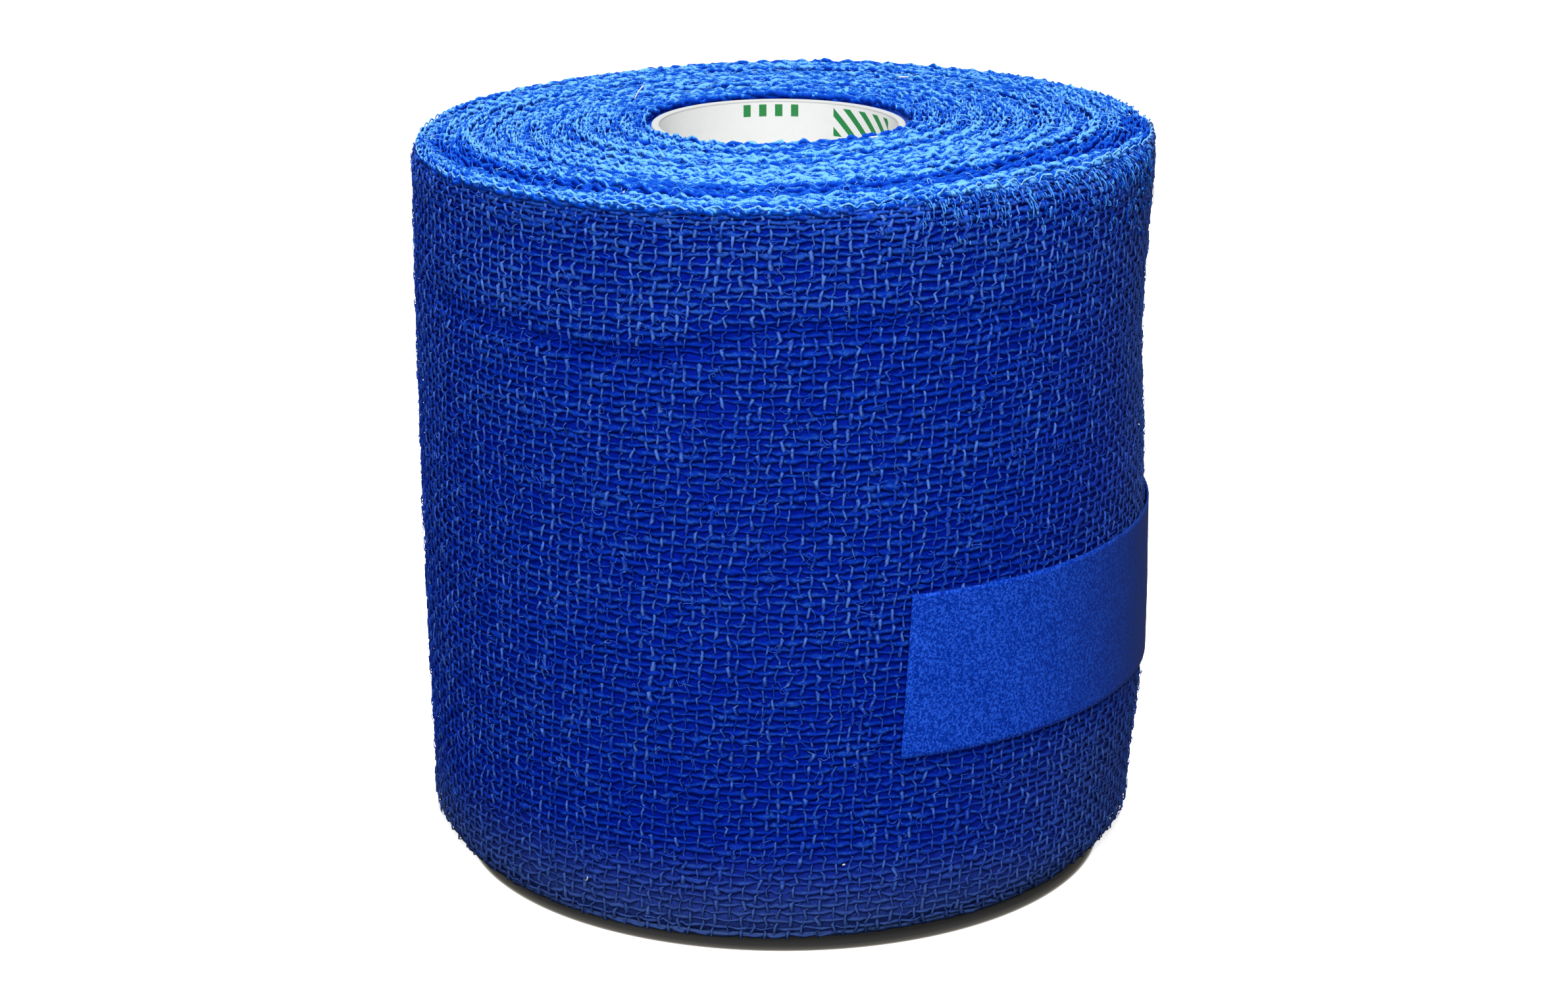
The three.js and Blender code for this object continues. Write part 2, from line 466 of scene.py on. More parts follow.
# Painted shade and sheen: greys and darkens the cloth at its foot, below the tape and by the free
# end.
@dataclass(frozen=True)
class PaintedGreyShade:
    """Where shade and grey sheen are painted on the cloth: at its foot, below the tape and by the
    free end.
    """

    foot_height: float = 12.0
    below_tape: float = 0.75
    tape_angle: float = 66.0
    tape_width: float = 26.0
    tape_height: float = 24.0
    tape_fade: float = 12.0
    end_angle: float = 92.0
    end_width: float = 29.0

    def at(self, points: Array) -> Array:
        """Returns how much painted grey shade each point gets.

        Args:
            points: Points on the cloth.

        Returns:
            A share for each point, 1 where the painted shade is strongest.
        """
        angle = angle_of(points)
        z = points[..., 2]
        foot = smooth((self.foot_height - z) / self.foot_height)
        round_by = bell((angle - self.tape_angle) / self.tape_width)
        below = self.below_tape * round_by * smooth((self.tape_height - z) / self.tape_fade)
        beside_end = bell((angle - self.end_angle) / self.end_width)
        return np.maximum(np.maximum(foot, below), beside_end)


PAINTED_GREY_SHADE = PaintedGreyShade()


def add_object(name: str, data: bpy.types.ID) -> Piece:
    """Adds an object that holds this mesh, light or camera to the scene.

    Args:
        name: The object's name.
        data: What it holds.

    Returns:
        The object.
    """
    added = bpy.data.objects.new(name, data)
    bpy.context.scene.collection.objects.link(added)
    return added


def new_primitive(name: str) -> Piece:
    """Names the primitive that was just added.

    Args:
        name: The name of its object and of its mesh.

    Returns:
        The object.
    """
    piece = bpy.context.object
    piece.name = piece.data.name = name
    return piece


def mesh_object(name: str, points: Array, faces: list[Array]) -> Piece:
    """Makes a smooth mesh object from arrays.

    Args:
        name: The piece's name.
        points: Vertices in metres.
        faces: Arrays of vertex numbers, each with faces of one number of corners.

    Returns:
        The object, linked to the scene.
    """
    corners = np.concatenate([kind.ravel() for kind in faces])
    sizes = np.concatenate([np.full(len(kind), kind.shape[1]) for kind in faces])
    starts = np.cumsum(sizes) - sizes
    mesh = bpy.data.meshes.new(name)
    mesh.vertices.add(len(points))
    mesh.vertices.foreach_set("co", points.astype(np.float32).ravel())
    mesh.loops.add(len(corners))
    mesh.loops.foreach_set("vertex_index", corners.astype(np.int32))
    mesh.polygons.add(len(sizes))
    mesh.polygons.foreach_set("loop_start", starts.astype(np.int32))
    mesh.update(calc_edges=True)
    mesh.validate()
    mesh.shade_smooth()
    return add_object(name, mesh)


def mark(piece: Piece, name: str, values: Array) -> None:
    """Keeps a number for each vertex of the piece, for its material to read."""
    attribute = piece.data.attributes.new(name, "FLOAT", "POINT")
    attribute.data.foreach_set("value", values.astype(np.float32))


def deselect_all() -> None:
    """Leaves nothing selected, so that an operator acts only on what comes next."""
    if bpy.context.object and bpy.context.object.mode != "OBJECT":
        bpy.ops.object.mode_set(mode="OBJECT")
    bpy.ops.object.select_all(action="DESELECT")


def apply_modifier(piece: Piece, kind: str, **settings: object) -> None:
    """Adds a modifier to the piece and applies it.

    Args:
        piece: The piece.
        kind: The kind of modifier.
        **settings: Its settings.
    """
    modifier = piece.modifiers.new(kind.lower(), kind)
    for key, value in settings.items():
        setattr(modifier, key, value)
    bpy.context.view_layer.objects.active = piece
    bpy.ops.object.modifier_apply(modifier=modifier.name)


def read_points(piece: Piece) -> Array:
    """Reads the mesh of a piece.

    Args:
        piece: The piece.

    Returns:
        Its vertices in millimetres.
    """
    points = np.empty(len(piece.data.vertices) * 3, dtype=np.float32)
    piece.data.vertices.foreach_get("co", points)
    return points.reshape(-1, 3).astype(float) / MM


def write_points(piece: Piece, points: Array) -> None:
    """Sets the vertices of a piece from millimetres."""
    piece.data.vertices.foreach_set("co", (points * MM).astype(np.float32).ravel())
    piece.data.update()


def settle(piece: Piece, material: bpy.types.Material) -> None:
    """Gives a finished piece its material and ties it to the frame.

    Args:
        piece: The finished piece.
        material: Its material.
    """
    piece.data.materials.clear()
    piece.data.materials.append(material)
    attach(piece, "root")
    LOG.info("%s: %d faces", piece.name, len(piece.data.polygons))


class Shade:
    """Adds and joins the nodes of one material or node group."""

    def __init__(self, tree: bpy.types.NodeTree) -> None:
        """Keeps the tree that the nodes go into."""
        self.tree = tree

    def node(self, kind: str, **settings: object) -> bpy.types.Node:
        """Adds a node.

        Args:
            kind: The kind of node.
            **settings: Its properties.

        Returns:
            The node.
        """
        made = self.tree.nodes.new(kind)
        for key, value in settings.items():
            setattr(made, key, value)
        return made

    def feed(self, source: object, target: Socket) -> None:
        """Gives an input its value.

        Args:
            source: A socket to link to, or a number or colour to set.
            target: The input.
        """
        if isinstance(source, Socket):
            self.tree.links.new(source, target)
        else:
            target.default_value = source

    def fill(self, made: bpy.types.Node, **sources: object) -> bpy.types.Node:
        """Feeds some inputs of a node.

        Args:
            made: The node.
            **sources: A socket, number or colour for each input, named with _ for a space.

        Returns:
            The same node.
        """
        for key, source in sources.items():
            self.feed(source, made.inputs[key.replace("_", " ")])
        return made

    def join(self, made: bpy.types.Node, *sources: object) -> Socket:
        """Feeds the first inputs of a node in turn.

        Args:
            made: The node.
            *sources: A socket, number or colour for each of them.

        Returns:
            The node's first output.
        """
        for source, target in zip(sources, made.inputs):
            self.feed(source, target)
        return made.outputs[0]

    def math(self, operation: str, first: object, second: object = 0.0) -> Socket:
        """Adds a math node whose inputs are sockets or numbers."""
        return self.join(self.node("ShaderNodeMath", operation=operation), first, second)

    def vector(self, operation: str, first: object, second: object) -> bpy.types.Node:
        """Adds a vector math node.

        Args:
            operation: What it does.
            first: Its first input, a socket or a vector.
            second: Its second input.

        Returns:
            The node, because it has several outputs.
        """
        made = self.node("ShaderNodeVectorMath", operation=operation)
        self.join(made, first, second)
        return made

    def place(self) -> Socket:
        """Returns the place on the piece, in metres."""
        return self.node("ShaderNodeTexCoord").outputs["Object"]

    def attribute(self, name: str) -> Socket:
        """Returns the value of a vertex attribute."""
        return self.node("ShaderNodeAttribute", attribute_name=name).outputs["Fac"]

    def noise(self, place: Socket, scale: Socket, detail: float) -> Socket:
        """Returns a noise pattern around a half."""
        made = self.node("ShaderNodeTexNoise")
        return self.fill(made, Vector=place, Scale=scale, Detail=detail).outputs["Fac"]

    def contrast(self, value: Socket, middle: float, contrast: Socket) -> Socket:
        """Spreads a pattern away from its middle.

        Args:
            value: The pattern.
            middle: The value that becomes a half.
            contrast: How much its differences grow.

        Returns:
            The pattern held within 0 and 1.
        """
        scaled = self.math("MULTIPLY", self.math("SUBTRACT", value, middle), contrast)
        centred = self.math("ADD", scaled, 0.5)
        return self.fill(self.node("ShaderNodeClamp"), Value=centred).outputs["Result"]

    def spread(self, value: Socket, low: float, high: float) -> Socket:
        """Maps a mask from 0 and 1 onto low and high."""
        made = self.fill(self.node("ShaderNodeMapRange"), Value=value, To_Min=low, To_Max=high)
        return made.outputs["Result"]

    def share(self, value: Socket, low: float, high: float) -> Socket:
        """Maps a value from low and high onto 0 and 1."""
        made = self.node("ShaderNodeMapRange")
        return self.fill(made, Value=value, From_Min=low, From_Max=high).outputs["Result"]

    def ramp(self, value: Socket, stops: list[tuple[float, Colour]]) -> Socket:
        """Lets a colour follow a value.

        Args:
            value: The value.
            stops: Values and their colours, from the lowest up.

        Returns:
            The colour.
        """
        made = self.fill(self.node("ShaderNodeValToRGB"), Fac=value)
        elements = made.color_ramp.elements
        while len(elements) < len(stops):
            elements.new(1.0)
        for element, (place, colour) in zip(elements, stops):
            element.position = place
            element.color = (*colour, 1.0)
        return made.outputs["Color"]

    def between(self, value: Socket, low: float, high: float) -> Socket:
        """Returns 1 where the value lies between two limits, else 0."""
        above = self.math("GREATER_THAN", value, low)
        return self.math("MULTIPLY", above, self.math("LESS_THAN", value, high))

    def mix(self, share: Socket, usual: Socket, other: Colour) -> Socket:
        """Lets one colour give way to another.

        Args:
            share: How far it does.
            usual: The colour where the share is 0.
            other: The colour where the share is 1.

        Returns:
            The mixed colour.
        """
        made = self.fill(self.node("ShaderNodeMix", data_type="RGBA"), Factor=share)
        first, second = (socket for socket in made.inputs if socket.type == "RGBA")
        self.feed(usual, first)
        self.feed((*other, 1.0), second)
        return next(socket for socket in made.outputs if socket.type == "RGBA")

    def bump(self, height: Socket, strength: float, depth: float) -> Socket:
        """Bumps a surface.

        Args:
            height: The pattern of its heights.
            strength: How much they turn its normal.
            depth: Their depth in millimetres.

        Returns:
            The turned normal.
        """
        made = self.node("ShaderNodeBump")
        self.fill(made, Height=height, Strength=strength, Distance=depth * MM)
        return made.outputs["Normal"]

    def by_ray(self, bounced: Socket, seen: Socket) -> Socket:
        """Gives light that bounces one shader, and the camera another."""
        ray = self.node("ShaderNodeLightPath").outputs["Is Camera Ray"]
        return self.join(self.node("ShaderNodeMixShader"), ray, bounced, seen)

    def use(self, group: bpy.types.NodeTree, **values: float) -> bpy.types.NodeOutputs:
        """Places a node group with these inputs, and returns its outputs."""
        return self.fill(self.node("ShaderNodeGroup", node_tree=group), **values).outputs


def new_material(name: str) -> tuple[bpy.types.Material, Shade, bpy.types.Node]:
    """Makes a material.

    Args:
        name: The material's name.

    Returns:
        The material, what adds its nodes, and its surface shader.
    """
    material = bpy.data.materials.new(name)
    material.use_nodes = True
    return material, Shade(material.node_tree), material.node_tree.nodes["Principled BSDF"]


def new_group(name: str, inputs: dict[str, float], outputs: list[str]) -> bpy.types.NodeTree:
    """Makes an empty shader node group.

    Args:
        name: The group's name.
        inputs: The names and usual values of its inputs.
        outputs: The names of its outputs.

    Returns:
        The group.
    """
    group = bpy.data.node_groups.new(name, "ShaderNodeTree")
    for key, value in inputs.items():
        socket = group.interface.new_socket(key, in_out="INPUT", socket_type="NodeSocketFloat")
        socket.default_value = value
    for key in outputs:
        group.interface.new_socket(key, in_out="OUTPUT", socket_type="NodeSocketFloat")
    return group


def make_fibre_grain() -> bpy.types.NodeTree:
    """Makes the fine mottling of spun or pressed fibres, as a mask and a height.

    Above 1, Upright Stretch draws the fibres out round the roll, and below 1 up its height.
    """
    inputs = {
        "Coarse Scale": 1400.0, "Fine Scale": 3600.0, "Contrast": 1.6, "Upright Stretch": 1.0
    }
    group = new_group("fibre_grain", inputs, ["Mask", "Height"])
    shade = Shade(group)
    given = shade.node("NodeGroupInput").outputs
    stretch = shade.node("ShaderNodeCombineXYZ")
    stretched = shade.join(stretch, 1.0, 1.0, given["Upright Stretch"])
    place = shade.vector("MULTIPLY", shade.place(), stretched).outputs["Vector"]
    coarse = shade.noise(place, given["Coarse Scale"], GRAIN_DETAIL)
    fine = shade.noise(place, given["Fine Scale"], GRAIN_DETAIL)
    mask = shade.contrast(shade.math("ADD", coarse, fine), 1.0, given["Contrast"])
    shade.fill(shade.node("NodeGroupOutput"), Mask=mask, Height=fine)
    return group


def make_soft_blotches() -> bpy.types.NodeTree:
    """Makes the slow unevenness of dye, dust or handling over a whole piece, as a mask."""
    group = new_group("soft_blotches", {"Scale": 45.0, "Contrast": 1.4}, ["Mask"])
    shade = Shade(group)
    given = shade.node("NodeGroupInput").outputs
    cloud = shade.noise(shade.place(), given["Scale"], BLOTCH_DETAIL)
    mask = shade.contrast(cloud, 0.5, given["Contrast"])
    shade.fill(shade.node("NodeGroupOutput"), Mask=mask)
    return group


FIBRE_GRAIN = make_fibre_grain()
SOFT_BLOTCHES = make_soft_blotches()


@dataclass(frozen=True)
class YarnFinish:
    """Dyed yarn with painted shade where it dips and painted light on its crest, mottled by its
    fibres.
    """

    name: str
    deep: Colour
    body: Colour
    light: Colour
    crest_share: float = 0.45
    crest_sharpness: float = 1.0
    tone_share: float = 0.45
    grain_share: float = 0.5
    grain_contrast: float = 2.4
    grain_scale: float = 1500.0
    blotch_share: float = 0.2
    base_level: float = -0.3
    # Painted grey shade: the colour and share mixed in where shade and sheen are painted.
    painted_grey: Colour = (0.042, 0.085, 0.26)
    painted_grey_share: float = 0.0
    upright_stretch: float = 1.0
    low_roughness: float = 0.6
    high_roughness: float = 0.9
    gloss: float = 0.04
    sheen: float = 0.015
    sheen_roughness: float = 0.5
    bump: float = 0.5
    bump_depth: float = 0.1
    finer_by: float = 2.4
    body_at: float = 0.55

    def make(self) -> bpy.types.Material:
        """Builds the material."""
        material, shade, surface = new_material(self.name)
        grain = shade.use(
            FIBRE_GRAIN,
            Coarse_Scale=self.grain_scale,
            Fine_Scale=self.grain_scale * self.finer_by,
            Contrast=self.grain_contrast,
            Upright_Stretch=self.upright_stretch,
        )
        rough = shade.spread(grain["Mask"], self.low_roughness, self.high_roughness)
        shade.fill(
            surface,
            Base_Color=self.colour(shade, self.level(shade, grain["Mask"])),
            Roughness=rough,
            Normal=shade.bump(grain["Height"], self.bump, self.bump_depth),
            Specular_IOR_Level=self.gloss,
            Sheen_Weight=self.sheen,
            Sheen_Roughness=self.sheen_roughness,
            Sheen_Tint=(*self.light, 1.0),
        )
        return material

    def level(self, shade: Shade, grain: Socket) -> Socket:
        """Adds up what makes the yarn light.

        Args:
            shade: Adds the nodes.
            grain: The mask of its fibres.

        Returns:
            The level, from its crest, its tone, its fibres and its dye.
        """
        # Painted light on each yarn's crest and painted shade on its flanks.
        sharp = shade.math("POWER", shade.attribute("crest"), self.crest_sharpness)
        crest = shade.math("MULTIPLY", sharp, self.crest_share)
        tone = shade.math("MULTIPLY", shade.attribute("tone"), self.tone_share)
        mottle = shade.math("MULTIPLY", grain, self.grain_share)
        cloud = shade.math("MULTIPLY", shade.use(SOFT_BLOTCHES)["Mask"], self.blotch_share)
        yarn = shade.math("ADD", shade.math("ADD", crest, tone), self.base_level)
        return shade.math("ADD", yarn, shade.math("ADD", mottle, cloud))

    def colour(self, shade: Shade, level: Socket) -> Socket:
        """Dyes the yarn.

        Args:
            shade: Adds the nodes.
            level: How light the yarn is.

        Returns:
            Its colour, greyer and darker where painted grey shade is marked.
        """
        stops = [(0.0, self.deep), (self.body_at, self.body), (1.0, self.light)]
        dyed = shade.ramp(level, stops)
        if self.painted_grey_share == 0.0:
            return dyed
        # Mixes in the painted grey shade.
        shaded_share = shade.math("MULTIPLY", shade.attribute("painted_grey_shade"), self.painted_grey_share)
        return shade.mix(shaded_share, dyed, self.painted_grey)


WARP_FINISH = YarnFinish(
    "dyed_warp_yarn", (0.0003, 0.018, 0.37), (0.0014, 0.033, 0.38), (0.018, 0.086, 0.46),
    crest_share=0.28, grain_share=0.75, base_level=-0.38, painted_grey_share=0.8, upright_stretch=1.4,
)
WEFT_FINISH = YarnFinish(
    "pale_weft_yarn", (0.001, 0.022, 0.38), (0.013, 0.060, 0.43), (0.074, 0.188, 0.66),
    crest_share=0.3, grain_share=0.65, base_level=-0.25, painted_grey_share=0.8, upright_stretch=0.7,
)
# The upper end's yarns are lighter and more cyan than the wall's: partly paler selvage fibres,
# partly painted top light and reflection.
EDGE_FINISH = YarnFinish(
    "selvage_edge_yarn", (0.0004, 0.036, 0.42), (0.006, 0.105, 0.51), (0.14, 0.41, 0.80),
    crest_share=1.0, crest_sharpness=1.8, tone_share=1.1, grain_share=0.6, grain_scale=2300.0,
    base_level=-0.9,
)
LOOP_FINISH = YarnFinish(
    "selvage_loop_yarn", (0.0004, 0.036, 0.42), (0.005, 0.095, 0.50), (0.10, 0.34, 0.77),
    crest_share=1.0, crest_sharpness=1.8, tone_share=1.1, grain_share=0.6, grain_scale=2300.0,
    base_level=-0.93,
)
RIM_FINISH = YarnFinish(
    "rim_zigzag_yarn", (0.002, 0.06, 0.46), (0.02, 0.16, 0.62), (0.18, 0.44, 0.84),
    crest_share=0.7, base_level=-0.2,
)
FOOT_FINISH = YarnFinish(
    "foot_selvage_yarn", (0.002, 0.02, 0.20), (0.008, 0.04, 0.26), (0.03, 0.09, 0.34),
    painted_grey_share=0.9,
)
UNDER_FINISH = YarnFinish(
    "turns_beneath", (0.0003, 0.009, 0.34), (0.0005, 0.016, 0.41), (0.001, 0.055, 0.50),
    crest_share=0.9, tone_share=0.0, base_level=-0.25, painted_grey_share=0.6,
)
WALL_FIBRE_FINISH = YarnFinish(
    "wall_fibre", (0.004, 0.04, 0.45), (0.02, 0.10, 0.66), (0.12, 0.24, 0.74), crest_share=0.3,
    painted_grey_share=0.5,
)
# A lighter copy of wall_fibre: painted top light on the upper end.
TOP_FIBRE_FINISH = YarnFinish(
    "top_fibre", (0.01, 0.12, 0.70), (0.09, 0.34, 0.80), (0.34, 0.62, 0.90), crest_share=0.3,
)
LINT_FINISH = YarnFinish(
    "white_lint", (0.6, 0.62, 0.64), (0.78, 0.79, 0.80), (0.88, 0.88, 0.88), sheen=0.0,
)


@dataclass
class WoundBody:
    """The turns beneath the outer one: a closed body just under the yarns."""

    form: WoundForm = FORM
    beneath_wall: float = 0.66
    beneath_top: float = 0.95
    above_foot: float = 0.6
    rows_up_wall: int = 44
    rows_across_end: int = 34
    columns: int = 120
    merge_within: float = 0.01
    wall_blend: float = 4.0
    top_inset: float = 1.5
    top_below: float = 0.5
    wall_crest: float = 0.25

    def profile(self) -> Array:
        """Returns the points of the spun profile as radius and height, foot first."""
        outer = self.form.radius
        across = np.linspace(self.form.bore_radius, outer, self.rows_across_end)
        up = np.linspace(0.0, self.form.rim_top, self.rows_up_wall)[1:-1]
        foot = np.stack([across, np.zeros_like(across)], axis=1)
        wall = np.stack([np.full_like(up, outer), up], axis=1)
        top = np.stack([across[::-1], np.full_like(across, self.form.rim_top)], axis=1)
        return np.concatenate([foot, wall, top])

    def spin_profile(self) -> Piece:
        """Spins the profile round the axis with edit-mode operators and closes the bore."""
        deselect_all()
        ring = self.profile()
        bpy.ops.mesh.primitive_circle_add(vertices=len(ring), radius=MM)
        piece = new_primitive("turns_beneath")
        points = np.stack([ring[:, 0], np.zeros(len(ring)), ring[:, 1]], axis=1)
        write_points(piece, points)
        bpy.ops.object.mode_set(mode="EDIT")
        bpy.ops.mesh.select_all(action="SELECT")
        bpy.ops.mesh.spin(
            steps=self.columns, angle=math.tau, center=(0, 0, 0), axis=(0, 0, 1), dupli=False
        )
        bpy.ops.mesh.select_all(action="SELECT")
        bpy.ops.mesh.remove_doubles(threshold=self.merge_within * MM)
        bpy.ops.mesh.normals_make_consistent(inside=False)
        bpy.ops.object.mode_set(mode="OBJECT")
        return piece

    def press(self, points: Array) -> Array:
        """Moves the spun points onto the uneven wall, both ends and the off-centre bore.

        Args:
            points: The spun points.

        Returns:
            The moved points.
        """
        form = self.form
        radius = radius_of(points)
        angle = angle_of(points)
        top = form.top_height(angle, radius) - self.beneath_top
        foot = form.foot_height(radius) + self.above_foot
        z = foot + (top - foot) * points[:, 2] / form.rim_top
        wall = form.wall_radius(form.turned_at(angle), z) - self.beneath_wall
        wall = wall - form.end_drop(angle, z)
        near_wall = smooth((radius - form.radius + self.wall_blend) / self.wall_blend)
        moved = on_turn(angle, radius + (wall - form.radius) * near_wall, z)
        return form.shift(moved, radius)

    def build(self) -> Piece:
        """Makes, dresses and rides the body."""
        piece = self.spin_profile()
        spun = read_points(piece)
        high = spun[:, 2] > self.form.rim_top - self.top_below
        on_top = high & (radius_of(spun) < self.form.radius - self.top_inset)
        pressed = self.press(spun)
        write_points(piece, pressed)
        piece.data.shade_smooth()
        # Painted top light: the body is lighter on the upper end than on the wall.
        mark(piece, "crest", np.where(on_top, 1.0, self.wall_crest))
        # Painted grey shade for the body as well.
        mark(piece, "painted_grey_shade", PAINTED_GREY_SHADE.at(pressed))
        settle(piece, UNDER_FINISH.make())
        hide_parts("wound_cloth")
        return piece


@dataclass(frozen=True)
class PaintedWallLight:
    """How much painted light and shade the yarns of the outer turn get by place."""

    form: WoundForm = FORM
    # Painted shade towards the foot and painted light at the rim, as a tone at each height.
    heights: tuple[float, ...] = (0.0, 12.0, 30.0, 60.0, 77.2, 78.6)
    tones: tuple[float, ...] = (0.36, 0.26, 0.36, 0.56, 0.66, 1.2)
    band: float = 0.36
    band_limits: tuple[float, float] = (-48.0, 36.0)
    band_fade: float = 26.0
    band_above: float = 0.5
    band_rise: float = 2.5
    band_top: float = 76.4
    band_top_fade: float = 1.2
    lost_at_top: float = 0.6
    # Painted shade in the crease, in the hollow above the tape, on the left and beside the free
    # end.
    crease_shade: float = 1.1
    hollow_shade: float = 0.45
    hollow_place: tuple[float, float] = (58.0, 49.0)
    hollow_size: tuple[float, float] = (16.0, 7.0)
    side: float = 0.35
    end_limits: tuple[float, float] = (78.0, 98.0)
    end_fade: float = 30.0
    left_side: float = -86.0
    left_fade: float = 16.0

    def at(self, angle: Array, z: Array) -> Array:
        """Adds up what makes the yarns lighter or darker.

        Args:
            angle: Turn angles.
            z: Heights along the strip's width.

        Returns:
            A tone with painted light and shade: it rises from the foot to the rim, with a lighter
                band
            above the crease, and painted shade in the crease, in the hollow above the tape, on the
            left and beside the free end.
        """
        signed = turn_between(0.0, angle)
        height_shade = np.interp(z, self.heights, self.tones)
        above = smooth((self.form.above_crease(angle, z) - self.band_above) / self.band_rise)
        band = plateau(signed, *self.band_limits, self.band_fade) * above
        band = band * (1.0 - self.lost_at_top * smooth((z - self.band_top) / self.band_top_fade))
        hollow_angle, hollow_z = self.hollow_place
        hollow_round, hollow_up = self.hollow_size
        hollow_shade = self.hollow_shade * bell((signed - hollow_angle) / hollow_round)
        hollow_shade = hollow_shade * bell((z - hollow_z) / hollow_up)
        side = self.side * plateau(signed, *self.end_limits, self.end_fade)
        side = side + self.side * bell((signed - self.left_side) / self.left_fade)
        crease_shade = self.crease_shade * self.form.crease_at(angle, z)
        return height_shade + self.band * band - crease_shade - hollow_shade - side


@dataclass(frozen=True)
class Straying:
    """How far yarns stray from their places: slowly with their neighbours, quickly alone."""

    slow: float
    slow_knots: int
    neighbours: int
    quick: float
    quick_knots: int

    def draw(self, rng: np.random.Generator, lines: int, steps: int) -> Array:
        """Draws how far each line strays at each step."""
        slow = beside(wander(rng, lines, steps, self.slow_knots), self.neighbours)
        return self.slow * slow + self.quick * wander(rng, lines, steps, self.quick_knots)


@dataclass(frozen=True)
class YarnKind:
    """The sizes of the warps or of the wefts, where they pass over and where under.

    The flat parts are shares of the distance to the next crossing.
    """

    over: float
    under: float
    flat_over: float
    flat_under: float
    half_width: float
    half_height: float
    under_width: float
    slow_width: float
    width_knots: int
    quick_width: float
    # Painted top light: yarns get lighter as they turn up over the rim.
    painted_top_light: float


